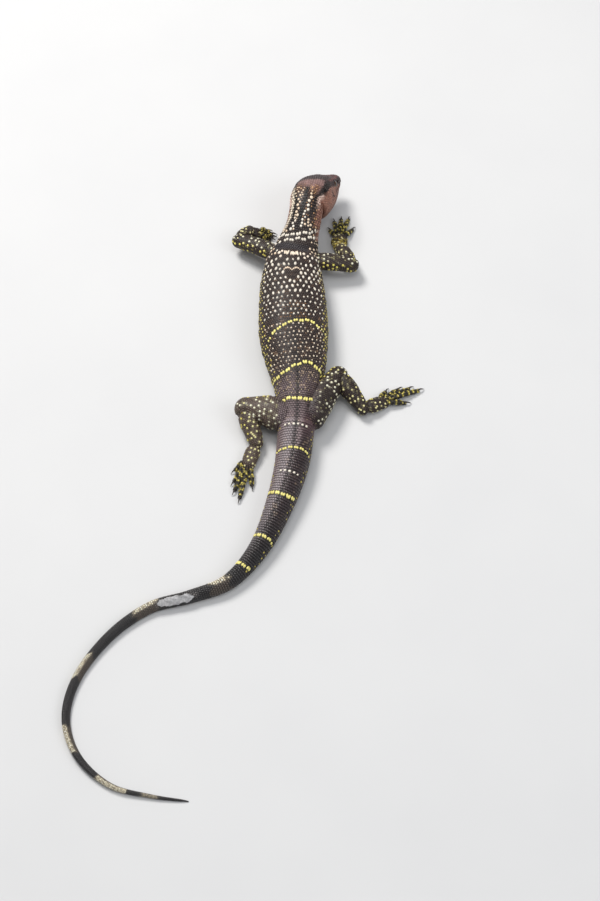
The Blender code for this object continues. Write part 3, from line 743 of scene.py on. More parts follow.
def by_distance(s, *stops):
    """A colour that changes with distance: stops are pairs of a distance and a colour."""
    places = [place for place, _ in stops]
    return np.stack([np.interp(s, places, [colour[i] for _, colour in stops]) for i in range(3)], axis=1)


def spots(s, arc, start, row, column, long, wide, seed, keep=1.0, jitter=0.14):
    """Oval spots in rows across the body, every other row moved by half a column. long and wide are
    a spot's half sizes along and across, and keep is the share of the places that have one."""
    r = np.round((s - start) / row)
    shift = 0.5 * np.mod(r, 2)
    c = np.round(arc / column - shift)
    middle_s = start + row * (r + jitter * (chance(r, c, seed) - 0.5) * 2)
    middle_arc = column * (c + shift + jitter * (chance(r, c, seed + 1) - 0.5) * 2)
    size = 0.8 + 0.4 * chance(r, c, seed + 2)
    d = np.hypot((s - middle_s) / long, (arc - middle_arc) / wide) / size
    return ease((1.0 - d) / 0.35 + 0.5) * (chance(r, c, seed + 3) < keep)


def spine_mark(s):
    """Where the black stripe along the spine lies: its way round from the section's middle."""
    return hermite((20, 27.5, 29.5, 31.3, 33.4, 38, 46, 52), (1.6, 1.45, 1.3, 0.8, 0.4, 0.2, 0.1, 0.0), s)


def cheek_edge(s):
    """The way round at which the dark side of the head ends and the cheek begins."""
    return hermite((0, 5, 13.4, 19.6, 22.6, 25, 28, 31), (3.4, 5.9, 7.8, 8.7, 9.8, 9.3, 8.4, 7.4), s)


def head_tint(s, arc):
    """The head and neck under the beads: a mauve crown behind a dark maroon snout, brown cheeks with
    faint streaks and a light upper edge, a dark stripe behind each eye that thins down the neck, a
    black stripe along the spine and a pale line on the neck's left."""
    side = abs(arc)
    share = side / half_girth(s)
    left = arc < 0
    mottle = waves(s, arc, 3.2, 5)
    nape = by_distance(s, *NAPE_STOPS) * (1 + 0.2 * mottle)[:, None]
    cheek = CHEEK + (THROAT - CHEEK) * ease((share - 0.50) / 0.35)[:, None]
    bars = np.sin(s * 1.9 + 2.4 * share + mottle)
    fan = np.sin(4.6 * side - 1.3 * s + mottle) * window(s, 15, 31, 3)
    cheek = cheek * (1 + 0.10 * mottle + 0.10 * bars + 0.22 * fan)[:, None]
    low = ease((side - np.where(left, cheek_edge(s) - 1.0, cheek_edge(s))) / 0.9)
    light = hill(side - cheek_edge(s) - 0.8 + 0.35 * ease((s - 29) / 3), 1.15) * window(s, 24.0, 33.8, 3.0)
    corner = hermite((9.5, 12, 13.7, 15), (18.8, 16.9, 16.1, 17.4), side)
    edge = hermite((-9, -5.2, -3.6, -1.8, 0.7, 2.8, 4.2, 5.4, 6.1, 8),
                   (25.4, 24.6, 23.8, 22.6, 21.4, 19.9, 19.3, 20.4, 22.0, 24.0), arc)
    mask = ease((edge + 0.4 * waves(s, arc, 3, 8) - s) / 1.4 + 0.5) * (1 - low)
    # the dark mask, lightened to grey on its left as a painted reflection of the sky
    dark = layered(
        MASK,
        (MASK_SHEEN, 0.8 * ease((1.5 - arc) / 4)),
        (SNOUT, 0.6 * (1 - ease((side - 1.5) / 1.5)) * ease((12 - s) / 4)),
    )
    ridge = hermite((3, 4.4, 12, 15.8, 18), (1.2, 1.9, 4.6, 5.3, 5.4), s)
    lip = window(share, 0.44, 0.62, 0.06) * ease((15 - s) / 5)
    line_s = (20, 22.6, 25, 28, 31, 33, 34.5, 37, 41, 46)
    right_way = hermite(line_s, (7.4, 8.0, 8.1, 7.4, 5.8, 5.4, 5.1, 4.4, 4.0, 3.9), s)
    left_way = hermite(line_s, (7.4, 6.9, 6.1, 4.8, 3.7, 3.5, 3.45, 3.4, 3.4, 3.8), s)
    half = np.where(left, 0.95, hermite(line_s, (1.3, 1.4, 1.15, 1.0, 0.9, 0.8, 0.8, 0.85, 0.8, 0.6), s))
    away = side - np.where(left, left_way, right_way) - 0.15 * waves(s, arc * 0, 5, 9)
    stripe = ease((half - abs(away)) / 0.5 + 0.5) * window(s, 18, 46.5, 2)
    spine = ease((0.88 - abs(arc - spine_mark(s))) / 0.35 + 0.5) * window(s, 26.3, 51.0, 1.6)
    line = hermite((27, 34, 38, 40, 42.2, 46, 52, 56), (5.5, 5.3, 5.2, 5.4, 6.2, 7.8, 10.0, 11.5), s)
    pale = ease((0.85 - abs(arc + line)) / 0.4 + 0.5)
    return layered(
        CROWN * (1 + 0.13 * mottle)[:, None],
        (NAPE_PATCH, window(s, 24, 29, 2) * window(arc, 4.2, 6.6, 1.2) * 0.9),
        (nape, ease((s - 25.0 - 0.25 * arc) / 3) * 0.92),
        (cheek, low),
        (CHEEK_LIGHT, light),
        # painted shade in the crease at the mouth's corner
        (CHEEK_FOLD_SHADE, 0.95 * hill(s - corner, 0.8) * window(side, 9.8, 15.2, 0.8)),
        (dark * (1 + 0.15 * mottle)[:, None], mask),
        (SNOUT_RIDGE, 0.8 * hill(side - ridge, 0.4) * window(s, 3.6, 16.4, 2.0)),
        (LIP * (1 + 0.25 * np.sin(s * 2.6))[:, None], 0.8 * lip),
        (EYE_STRIPE, 0.97 * stripe),
        (STRIPE, 0.97 * spine),
        (NECK_BACK, window(s, 41, 54, 4) * window(side, 0, 11, 2) * 0.8),
        (NECK_LINE, pale * window(s, 27.5, 54, 3) * 0.95),
    )


def trunk_bands(arc):
    """The three yellow bands: distance from the snout at each way round, thickness and reach."""
    return (
        (96.0 + 0.03 * (arc - 3) ** 2, 1.65, 17),
        (115.6 + 6 * (1 - np.exp(-(((arc - 4) / 9) ** 2))), 1.85, 17),
        (132.0 + 0.006 * arc**2, 1.95, 14),
    )


def trunk_tint(s, arc):
    """The trunk under the beads: dark, with a black collar, dull flecks and dots towards the hips,
    darker strips under the yellow bands, painted shade on the right half of the rump and a barred
    cream belly."""
    side = abs(arc)
    share = side / half_girth(s)
    mottle = waves(s, arc, 4.0, 15)
    back = 1 - ease((share - 0.40) / 0.1)
    collar = window(s + 0.1 * arc, 51.4, 55.8, 0.5) * window(arc, -10.5, 7.0, 1.5)
    dots = spots(s, arc, 116, 1.25, 1.35, 0.36, 0.33, 37, 0.62)
    flecks = spots(s, arc, 90, 1.2, 1.25, 0.34, 0.3, 39, 0.5)
    bars = ease(1.2 + 2.4 * np.sin(2 * math.pi * s / 9.5 + 0.5 * waves(s, arc, 9, 43)))
    under = (BELLY_BAR + (BELLY - BELLY_BAR) * bars[:, None]) * (1 + 0.06 * mottle)[:, None]
    base = layered(
        BACK,
        (FLANK, ease((share - 0.3) / 0.2)),
        (RUMP, ease((s - 112) / 16) * (1 - 0.5 * share)),
    )
    base = layered(
        base * (1 + 0.13 * mottle)[:, None],
        (COLLAR * (1 + 0.15 * np.sin(arc * 7.5))[:, None], collar),
        (RUMP_DOT, dots * back * window(s, 117, 134, 2) * 0.7),
        (BACK_FLECK, flecks * back * window(s, 62, 118, 8) * (0.3 + 0.25 * ease((s - 84) / 10))),
        (under, ease((share - 0.66) / 0.08)),
        (STRIPE, hill(arc, 0.7) * window(s, 100, 142, 6) * 0.95),
    )
    # painted shade: the rump's right half darkened, as the side away from the light
    return layered(
        base,
        (base * RUMP_SHADOW, ease((arc - 2.6) / 1.8) * ease((s - 118) / 16)),
        *[(BACK * 0.6, 0.7 * hill(s - line, 1.6) * (side < reach)) for line, _, reach in trunk_bands(arc)],
    )


# The tail's dashed bands: distance, thickness and bow. Its cream rings: first and last distance, how
# far round to the right they reach, and strength.
TAIL_DASHES = ((155.3, 1.5, 0.025), (176.5, 2.2, 0.0), (197.0, 2.0, 0.0), (211.5, 2.2, 0.0))
TAIL_RINGS = (
    (220, 228, 0.6, 1.0), (250.5, 261, 0.9, 1.0), (285, 296, 0.8, 1.0),
    (315.5, 327, 0.9, 1.0), (340, 353, 1.1, 0.9), (359, 365, 1.2, 0.4),
)


def tail_tint(s, arc):
    """The tail: mauve grey at its root, with a painted sheen on its left half and painted shade on its
    right half, a black line between them, then black with patchy cream rings on its left and dull
    brown ones on its right."""
    share = abs(arc) / half_girth(s)
    mottle = waves(s, arc, 4.0, 71)
    base = 1.3 * RUMP + (TAIL_DARK - 1.3 * RUMP) * ease((s - 168) / 50)[:, None]
    # painted shade: the right half darkened, as the side away from the light
    deep = np.array(TAIL_SHADOW) * (1 - 0.66 * ease((s - 142) / 12))[:, None]
    start = hermite((118, 146, 152, 157), (2.5, 2.3, 1.9, 0.4), s)
    base = layered(base, (base * deep, ease((arc - start) / 1.1) * (1 - ease((s - 205) / 12))))
    # painted sheen: the left half lightened where the light catches it
    sheen = hill(arc + 3.0, 3.2) * window(s, 142, 205, 10)
    flecks = spots(s, arc, 148, 1.3, 1.3, 0.3, 0.3, 74, 0.4)
    ticks = hill(arc + 1.6, 1.3) * (0.5 + 0.5 * np.sin(2 * math.pi * s / 1.35)) ** 2
    base = layered(
        base * (1 + 0.10 * mottle)[:, None] * (1 + sheen[:, None] * TAIL_SHEEN),
        (STRIPE, hill(arc, 0.8) * window(s, 125, 205, 10) * 0.97),
        (TAIL_FLECK, flecks * window(s, 138, 190, 6) * 0.4),
        (BELLY * 0.8, ease((share - 0.80) / 0.08) * window(s, 130, 240, 20)),
        (TAIL_TICK, 0.6 * ticks * window(s, 226, 251, 3)),
    )
    for number, (low, high, reach, strength) in enumerate(TAIL_RINGS):
        ragged = 1.1 * waves(s * 0 + number * 9, arc, 3, 91)
        ring = window(s + ragged, low, high, 0.9) * strength
        patchy = ease((waves(1.4 * s, 2.2 * arc, 2.6, 93 + number) + 0.62) / 0.4)
        fine = 0.8 + 0.2 * np.sin(2 * math.pi * s / 1.2)
        cream = ring * (1 - ease((arc - reach) / 0.9)) * (0.22 + 0.78 * patchy) * fine
        base = layered(
            base,
            (TAIL_DUSK, 0.7 * ring),
            (TAIL_CREAM, cream * (1 - 0.6 * hill(share - 0.62, 0.13))),
        )
    worn = hill(arc - 2.4, 1.3) * window(s, 234, 252, 3)
    return layered(base, (TAIL_WORN, 0.75 * worn * ease(0.8 + waves(s, arc, 2.5, 95))))


def body_tint(s, arc):
    """The colour of the body at distances s and ways round arc, blended between its three parts."""
    shape = s.shape
    s, arc = s.ravel(), arc.ravel()
    neck, tail = ease((s - 45.8) / 1.6)[:, None], ease((s - 137) / 5)[:, None]
    tint = head_tint(s, arc) * (1 - neck) + trunk_tint(s, arc) * neck
    tint = tint * (1 - tail) + tail_tint(s, arc) * tail
    return np.clip(tint, 0.004, 0.92).reshape(*shape, 3)


def limb_tint(limb, kind, x, arc, tube):
    """The colour of a limb's tube at distances x and ways round arc: dark with pale dots, yellower
    behind and towards the foot, toes black with yellow cross bars, soles and undersides paler."""
    shape = x.shape
    x, arc = x.ravel(), arc.ravel()
    seed = 100 + 10 * list(TUBES).index((limb, kind))
    turn = arc / tube.radius(np.clip(x, 0, tube.length))
    all_over = np.ones(len(x))
    under = 0.8 * ease((abs(turn) - 2.0) / 0.5)
    # base colour, lightened on the lit left hind limb and darkened on the shaded right one
    base = LIMB_LIT_AND_SHADED.get(limb, LIMB) * (1 + 0.15 * waves(x, arc, 3, seed))[:, None]
    if kind.startswith("toe"):
        bars = ease((np.cos(2 * math.pi * x / 2.5 + seed + 0.9 * waves(x, arc, 2, seed)) - 0.1) / 0.4)
        bars = bars * ease(0.9 + waves(x, arc, 1.3, seed + 3))
        layers = [(TOE_DARK, 0.9 * all_over), (LIMB_YELLOW * 0.85, bars * (abs(turn) < 1.9) * 0.85)]
        return layered(base, *layers, (TOE_UNDER, under)).reshape(*shape, 3)
    far_end = kind in ("lower", "sole")
    rear = np.clip(np.sin(turn) * (1 if limb in ("hind_right", "fore_left") else -1), 0, 1)
    yellowed = ((LIMB_YELLOW, ease((rear - 0.45) / 0.3)), (LIMB_YELLOW, 0.5 * far_end * all_over))
    dot = layered(LIMB_WHITE, *yellowed)
    big = spots(x, arc, 0.7, 2.15, 2.2, 0.46, 0.44, seed, 0.72)
    small = spots(x, arc, 0, 1.3, 1.35, 0.33, 0.33, seed + 5, 0.4)
    layers = [(dot, ease((big - 0.3) / 0.3)), (LIMB_DOT, small * 0.6)]
    if limb == "fore_right" and far_end:
        patch = hill(x - (tube.length if kind == "lower" else 0.5), 2.0) * (abs(turn) < 1.9)
        grain = ease(0.55 + waves(x, arc, 1.4, seed + 7))
        layers.append((WRIST, patch * grain * 0.85))
    return layered(base, *layers, (LIMB_UNDER, under)).reshape(*shape, 3)


# Shader sums

class Wire:
    """A shader socket that Python's own signs can add and multiply."""

    def __init__(self, finish, socket):
        self.finish = finish
        self.socket = socket

    def sum(self, operation, other):
        return self.finish.node("ShaderNodeMath", {"operation": operation}, {0: self, 1: other})

    def __add__(self, other):
        return self.sum("ADD", other)

    def __mul__(self, other):
        return self.sum("MULTIPLY", other)


class Finish:
    """A material, whose nodes all come from the one method node."""

    def __init__(self, name, **constants):
        self.material = bpy.data.materials.new(name)
        self.material.use_nodes = True
        self.tree = self.material.node_tree
        self.shader = self.tree.nodes["Principled BSDF"]
        for socket, value in constants.items():
            self.shader.inputs[socket.replace("_", " ")].default_value = value

    def node(self, kind, settings=None, inputs=None, output=0):
        """Adds a node: first its settings, or the stops of its ramp, then its sockets."""
        made = self.tree.nodes.new(kind)
        for key, value in (settings or {}).items():
            if key == "stops":
                elements = made.color_ramp.elements
                while len(elements) < len(value):
                    elements.new(0.5)
                for element, (position, colour) in zip(elements, value):
                    element.position = position
                    element.color = (*colour, 1)
            else:
                setattr(made, key, value)
        for key, value in (inputs or {}).items():
            self.join(value, made.inputs[key])
        return Wire(self, made.outputs[output])

    def join(self, value, socket):
        if isinstance(value, Wire):
            self.tree.links.new(value.socket, socket)
        else:
            socket.default_value = value

    def feed(self, **links):
        """Joins wires to the shader's own sockets."""
        for key, value in links.items():
            self.join(value, self.shader.inputs[key.replace("_", " ")])

    def place(self):
        return self.node("ShaderNodeTexCoord", output="Object")

    def noise(self, place, size, detail=2.0, rough=0.5):
        """Noise from 0 to 1 whose lumps are about size millimetres across."""
        return self.node(
            "ShaderNodeTexNoise", None,
            {"Vector": place, "Scale": 1.0 / (size * MM), "Detail": detail, "Roughness": rough},
        )

    def ramp(self, value, *stops):
        """A colour that changes with a value: stops are pairs of a value and a colour."""
        return self.node("ShaderNodeValToRGB", {"stops": stops}, {"Fac": value})

    def attribute(self, name, output="Color"):
        return self.node("ShaderNodeAttribute", {"attribute_name": name}, output=output)

    def mix(self, factor, first, second, blend="MIX"):
        """Two colours blended. The Mix node's sockets for colours are reached by number, because
        they share their names with those for numbers."""
        first, second = [v if isinstance(v, Wire) else (*v, 1) for v in (first, second)]
        settings = {"data_type": "RGBA", "blend_type": blend}
        return self.node("ShaderNodeMix", settings, {0: factor, 6: first, 7: second}, output=2)

    def bump(self, height, strength, depth):
        """A bump whose height of 1 stands for depth millimetres."""
        return self.node(
            "ShaderNodeBump", None, {"Height": height, "Strength": strength, "Distance": depth * MM}
        )


def hide_finish(name, rough, gloss, grain, wrinkle):
    """Skin or scale: the painted tint, clouded a little, with fine grain and wrinkles in its bump
    and a gloss that is broken by rubbed places."""
    f = Finish(name, Coat_Roughness=0.28, Specular_IOR_Level=0.38)
    place = f.place()
    tint = f.attribute("tint")
    cloud = f.noise(place, 2.2, 3.0)
    fine = f.noise(place, 0.35, 2.0, 0.6)
    darker = f.mix(cloud * 0.55, tint, (0.62, 0.58, 0.56), "MULTIPLY")
    base = f.mix(fine * 0.22, darker, (0.78, 0.72, 0.66), "OVERLAY")
    f.feed(Base_Color=base, Roughness=cloud * 0.22 + fine * 0.14 + (rough - 0.18))
    f.feed(Coat_Weight=cloud * gloss)
    cells = f.node(
        "ShaderNodeTexVoronoi", {"feature": "DISTANCE_TO_EDGE"},
        {"Vector": place, "Scale": 1.0 / (grain * MM)},
    )
    creases = f.noise(place, 0.9, 4.0)
    f.feed(Normal=f.bump(cells * 0.9 + creases * wrinkle, 0.5, 0.07))
    return f.material


def eye_finish():
    """The eye: a black pupil, a brown iris flecked with gold, and a dark rim, under a clear coat."""
    f = Finish("wet eye", Roughness=0.2, Coat_Weight=0.35, Coat_Roughness=0.03, Specular_IOR_Level=0.35)
    ring = f.attribute("ring", "Fac")
    streak = f.noise(f.place(), 0.16, 3.0)
    pupil, rim = (0.004, 0.003, 0.003), (0.012, 0.008, 0.007)
    iris = ((0.215, (0.13, 0.07, 0.025)), (0.27, (0.10, 0.045, 0.018)), (0.42, (0.05, 0.022, 0.012)))
    ramp = f.ramp(ring, (0.0, pupil), (0.19, pupil), *iris, (0.52, rim))
    f.feed(Base_Color=f.mix(streak * 0.5, ramp, (0.35, 0.3, 0.25), "MULTIPLY"))
    return f.material


def claw_finish():
    """Horn: dark at the root, with fine lines along it and a paler tip."""
    f = Finish("dark horn", Coat_Weight=0.1, Coat_Roughness=0.3, Specular_IOR_Level=0.3)
    tip = f.attribute("tip", "Fac")
    grain = f.noise(f.place(), 0.25, 3.0)
    horn = f.ramp(tip, (0.0, (0.02, 0.015, 0.012)), (0.6, (0.045, 0.034, 0.027)), (1.0, (0.07, 0.055, 0.045)))
    f.feed(Base_Color=f.mix(grain * 0.6, horn, (0.4, 0.36, 0.32), "MULTIPLY"))
    f.feed(Roughness=grain * 0.2 + 0.2, Normal=f.bump(grain, 0.4, 0.05))
    return f.material


def flake_finish():
    """Dry shed skin: papery, silver grey with darker patches."""
    f = Finish("dry shed skin", Specular_IOR_Level=0.6)
    crinkle = f.noise(f.place(), 0.7, 4.0, 0.6)
    base = f.mix(crinkle, (0.10, 0.10, 0.10), (0.66, 0.65, 0.66))
    f.feed(Base_Color=base, Roughness=crinkle * 0.3 + 0.25, Normal=f.bump(crinkle, 0.8, 0.25))
    return f.material


# Scales

def dome(sides, rings):
    """One scale or bead seen from above, its length along x with the rear end at 1. Each ring has
    its share of the size and its height: the first is the rim, sunk in the skin, and the last
    carries the crown. Returns the points, the walls, the top and the base."""
    angle = np.arange(sides) * 2 * math.pi / sides
    levels = [
        np.stack([share * np.cos(angle) + 0.06 * (1 - share), share * np.sin(angle),
                  np.full(sides, high) + 0.2 * (1 - share) * np.cos(angle) * (high > 0)], axis=1)
        for share, high in rings
    ]
    points = np.concatenate([*levels, [(0.1, 0.0, 1.0)]])
    i = np.arange(sides)
    j = (i + 1) % sides
    walls = np.concatenate([
        np.stack([k * sides + i, k * sides + j, (k + 1) * sides + j, (k + 1) * sides + i], axis=1)
        for k in range(len(rings) - 1)
    ])
    last = (len(rings) - 1) * sides
    top = np.stack([last + i, last + j, np.full(sides, last + sides)], axis=1)
    return points, (walls, top, i[::-1][None])


SCALE = dome(6, ((1.0, -1.0), (0.66, 0.8)))
BEAD = dome(10, ((1.0, -1.0), (0.84, 0.55), (0.46, 0.92)))
RIM_SINK = 0.13       # how deep a scale's rim lies in the skin
BEAD_LEAN = 0.45      # radians that a bead may lie askew
ROOT_COVER = 0.7      # a limb's own scales begin this high over the body
BEAD_CLEAR = 0.20     # how far the small scales stay away from a bead
HEAD_END = 27         # up to here the scales lie less evenly
LAP = 0.555           # a scale's half size as a share of the pitch
HEX = 0.866           # how much closer rows lie than columns in an even hexagon pattern
FLANK_SHARE = 0.52    # where the belly's scales take over, as a share of half the girth
UNWRAP_LOW, UNWRAP_TALL = 0.02, 0.96     # where the unwrap begins and how tall it is


def surface(points, x, turn, step_x=0.12, step_turn=0.03):
    """Place, outward normal and rearward direction of a surface at (x, turn), from the differences
    of nearby points."""
    back = points(x + step_x, turn) - points(x - step_x, turn)
    round_ = points(x, turn + step_turn) - points(x, turn - step_turn)
    normal = unit(np.cross(back, round_))
    back = unit(back - normal * (back * normal).sum(axis=1)[:, None])
    return points(x, turn), normal, back


def turns_at(rings, arc):
    """The angles at which the ways round arc are reached, with one row of arc for each ring."""
    return np.array([np.interp(a, ring, RING) for a, ring in zip(arc, rings)])


def unwrap_at(turn, share):
    """Places on the unwrap: the angle goes across it and the share of the length up it."""
    return np.stack([0.5 + 0.47 * turn / math.pi, UNWRAP_LOW + UNWRAP_TALL * share], axis=1)


def rows_along(first, last, pitch, squeeze):
    """Distances of rows from first to last, each squeeze times the local pitch from the next."""
    s = np.linspace(first, last, 2000)
    count = np.concatenate([[0], np.cumsum(np.diff(s) / (squeeze * pitch(s[:-1])))])
    return np.interp(np.arange(int(count[-1]) + 1) + 0.5, count, s)


PITCH = np.array((
    (0, 0.72), (6, 0.85), (12, 1.0), (19, 1.15), (27, 1.12), (40, 1.15), (52, 1.05), (62, 0.98),
    (120, 1.0), (132, 1.16), (200, 1.16), (220, 0.95), (260, 0.78), (320, 0.62), (350, 0.5), (378, 0.34),
))


def body_pitch(s):
    return np.interp(s, PITCH[:, 0], PITCH[:, 1])


def body_scales(first, last):
    """Roots of the body's scales: rows across it, every other one moved by half a scale. Returns
    distance, way round, angle, pitch, and how close the rows lie in pitches."""
    squeeze = 0.88 if first < TRUNK_END else 1.0
    rows = rows_along(first, last, body_pitch, squeeze)
    arcs = ring_arcs(rows)
    found = []
    for number, (s, ring) in enumerate(zip(rows, arcs)):
        pitch = body_pitch(s)
        k = np.arange(-120, 121) + 0.5 * (number % 2)
        wanted = k * pitch
        wanted = wanted[(wanted > ring[0] + 0.3 * pitch) & (wanted < ring[-1] - 0.3 * pitch)]
        jitter = 0.10 * pitch * (s < HEAD_END)
        wanted = wanted + RNG.uniform(-jitter, jitter, len(wanted))
        turn = np.interp(wanted, ring, RING)
        size = np.full(len(wanted), pitch)
        found.append(np.stack([np.full(len(wanted), s), wanted, turn, size], axis=1))
    s, arc, turn, size = np.concatenate(found).T
    s = s + RNG.uniform(-0.08, 0.08, len(s)) * size * np.where(s < HEAD_END, 1.4, 0.5)
    return s, arc, turn, size, squeeze


def lip_scales():
    """Plates along both lips, on both sides: above and below the mouth line."""
    found = []
    pitch = lambda v: 0.8 + 0.025 * v
    s = rows_along(1.2, 17.2, pitch, 1.0)
    rings = ring_arcs(s)
    for side in (1, -1):
        mouth = np.array([np.interp(side * MOUTH_TURN, RING, ring) for ring in rings])
        for above in (-0.78, 0.78):
            wanted = mouth + side * above
            found.append(np.stack([s, wanted, turns_at(rings, wanted), 0.98 * pitch(s)], axis=1))
    return np.concatenate(found).T


# Beads

def bead_group(s, arc, long, wide, colour):
    """Rows of s, arc, half length, half width and the three parts of the colour."""
    colour = np.broadcast_to(colour, (len(s), 3))
    return np.column_stack([s, arc, np.broadcast_to(long, s.shape), np.broadcast_to(wide, s.shape), colour])


def bead_rows(first, last, row, column, reach, long, wide, colour, seed, keep=1.0, jitter=0.13, low=0.0):
    """Beads in rows across the body, every other row moved by half a column, out to reach on both
    sides and no nearer the spine than low. keep is the share of the places that have one. Sizes run
    from 0.72 to 1.22 and brightness from 0.72 to 1 of what is given."""
    r, k = np.meshgrid(np.arange(round((last - first) / row) + 1), np.arange(-20, 21), indexing="ij")
    r, k = r.ravel().astype(float), k.ravel().astype(float)
    s = first + row * (r + jitter * (2 * chance(r, k, seed) - 1))
    arc = column * (k + 0.5 * np.mod(r, 2) + jitter * (2 * chance(r, k, seed + 1) - 1))
    size = 0.72 + 0.5 * chance(r, k, seed + 2)
    stay = (chance(r, k, seed + 3) < keep) & (abs(arc) < reach) & (abs(arc) >= low)
    bright = (0.72 + 0.28 * chance(r, k, seed + 4))[stay, None]
    return bead_group(s[stay], arc[stay], long * size[stay], wide * size[stay], colour * bright)


def bead_line(s, arc, long, wide, colour, seed, jitter=0.12):
    """Beads along one line, each moved a little."""
    n = np.arange(len(s)).astype(float)
    move = lambda k: jitter * (2 * chance(n, 0 * n, seed + k) - 1)
    size = 0.82 + 0.36 * chance(n, 0 * n, seed + 2)
    return bead_group(s + move(0), arc + move(1), long * size, wide * size, colour)


def dash_line(line, reach, thick, colour, seed, middle=0.5, period=2.5, wide=0.58, stray=0.4):
    """A broken line of beads across the body, in pairs that touch. line gives the distance from the
    snout at each way round. The pairs lie period apart, between middle and reach on both sides, and
    each strays along the body by up to stray. thick is a bead's length and wide its half width."""
    pair = np.arange(-12, 12)
    shift = chance(seed, 0, 5) - 0.5
    centre = (pair + 0.5 + 0.3 * shift) * period
    arc = np.concatenate([centre - 0.84 * wide, centre + 0.84 * wide])
    number = np.concatenate([pair, pair]).astype(float)
    stay = (abs(arc) < reach) & (abs(arc) > middle)
    arc, number = arc[stay], number[stay]
    s = line(arc) + stray * (2 * chance(number, seed, 1) - 1)
    far = 1 - 0.35 * ease((abs(arc) - 9) / 5)
    long = 0.5 * thick * (0.85 + 0.3 * chance(number, seed, 2)) * far
    bright = (0.82 + 0.18 * chance(number, seed, 3))[:, None]
    return bead_group(s, arc, long, wide * far, colour * bright)


NECK_DOTS = np.array(((41.2, 3.3), (41.6, 4.9), (40.2, 4.5), (41.1, 6.0), (42.7, 6.2), (39.0, 4.3)))
RIBBON_DOTS = np.array(((58.6, -6.2), (60.6, -5.4), (57.6, -4.9), (60.9, 5.4), (58.2, 5.0), (59.4, 6.9)))


def neck_rows():
    """The two single rows down the neck, right and left of the spine's stripe, and a few beads
    beside the right one."""
    row_s = np.array((26.0, 27.8, 29.3, 31.0, 32.3, 33.9, 35.3, 36.0, 37.1, 38.3, 39.4, 40.9, 42.2))
    row_arc = np.array((3.4, 3.9, 3.6, 3.5, 2.6, 2.6, 3.1, 1.9, 1.75, 2.6, 1.75, 1.95, 1.8))
    big = hermite((26, 30, 32, 34, 36, 43), (0.5, 0.68, 0.9, 0.86, 0.62, 0.66), row_s)
    fade = by_distance(row_s, (26, ORANGE_BEAD), (30, CREAM_BEAD), (34, WHITE_BEAD))
    left_s = np.arange(27.6, 45.5, 1.28)
    way = hermite((27.5, 30, 32, 34, 36, 38, 41, 45), (1.9, 1.9, 2.0, 1.8, 1.65, 1.5, 1.9, 2.4), left_s)
    zigzag = 0.42 * (-1.0) ** np.arange(len(left_s))
    size = hermite((27, 30, 36, 42), (0.46, 0.58, 0.68, 0.74), left_s)
    pearl = by_distance(left_s, (27, ORANGE_BEAD), (29, CREAM_BEAD), (37, CREAM_BEAD), (42, WHITE_BEAD))
    return [
        bead_line(row_s, row_arc, big, 0.84 * big, fade, 300, 0.05),
        bead_line(*NECK_DOTS.T, 0.6, 0.52, CREAM_BEAD, 310, 0.05),
        bead_line(left_s, zigzag - way, size, 0.86 * size, pearl, 314, 0.06),
    ]


def neck_fields():
    """The fields of small beads on both sides of the neck's rows, on the nape and the shoulders."""
    left = bead_rows(27.1, 44.6, 1.0, 0.92, 5.0, 0.45, 0.38, CREAM_BEAD, 320, 0.9, 0.22)
    low = hermite((27, 30, 34, 40, 45), (4.2, 3.8, 2.7, 2.5, 3.2), left[:, 0])
    left = left[(left[:, 1] - spine_mark(left[:, 0]) < -1.1) & (left[:, 1] > -low)]
    nape = 0.6 * ORANGE_BEAD + 0.4 * CREAM_BEAD
    left[:, 4:] = by_distance(left[:, 0], (26, nape), (29, CREAM_BEAD), (42, CREAM_BEAD))
    right = bead_rows(24.6, 41.0, 1.05, 0.95, 7.0, 0.34, 0.3, ORANGE_BEAD * 0.92, 330, 0.85, 0.2)
    high = hermite((24, 28, 31, 34, 40), (6.0, 6.0, 4.7, 4.2, 3.6), right[:, 0])
    right = right[(right[:, 1] - spine_mark(right[:, 0]) > 1.25) & (right[:, 1] < high)]
    crown = bead_rows(24.2, 27.4, 1.15, 1.2, 5.4, 0.26, 0.24, ORANGE_BEAD * 0.85, 380, 0.55, 0.3)
    crown = crown[crown[:, 0] > 24.8 - 0.2 * crown[:, 1]]
    outer = bead_rows(33.0, 49.0, 1.7, 1.55, 12.5, 0.46, 0.38, ORANGE_BEAD, 340, 0.9, 0.2, low=3.0)
    inner = hermite((33, 36, 41, 45), (6.4, 5.7, 6.6, 8.0), outer[:, 0])
    breadth = hermite((33, 40, 48), (1.4, 3.0, 6.0), outer[:, 0])
    outer = outer[(outer[:, 1] > inner) & (outer[:, 1] < inner + breadth)]
    outer[:, 4:] = by_distance(outer[:, 0], (33, ORANGE_BEAD * 0.85), (40, ORANGE_BEAD), (48, CREAM_BEAD))
    shoulder = bead_rows(50.0, 57.5, 2.5, 2.3, 17.0, 0.72, 0.6, CREAM_BEAD, 350, 0.92, 0.14, low=7.6)
    shoulder[:, 0] -= 0.12 * shoulder[:, 1]
    flank = bead_rows(43.5, 47.5, 1.9, 1.9, 11.5, 0.6, 0.52, CREAM_BEAD, 360, 0.9, 0.15, low=3.9)
    return [left, right, crown, outer, shoulder, flank[flank[:, 1] < 0]]


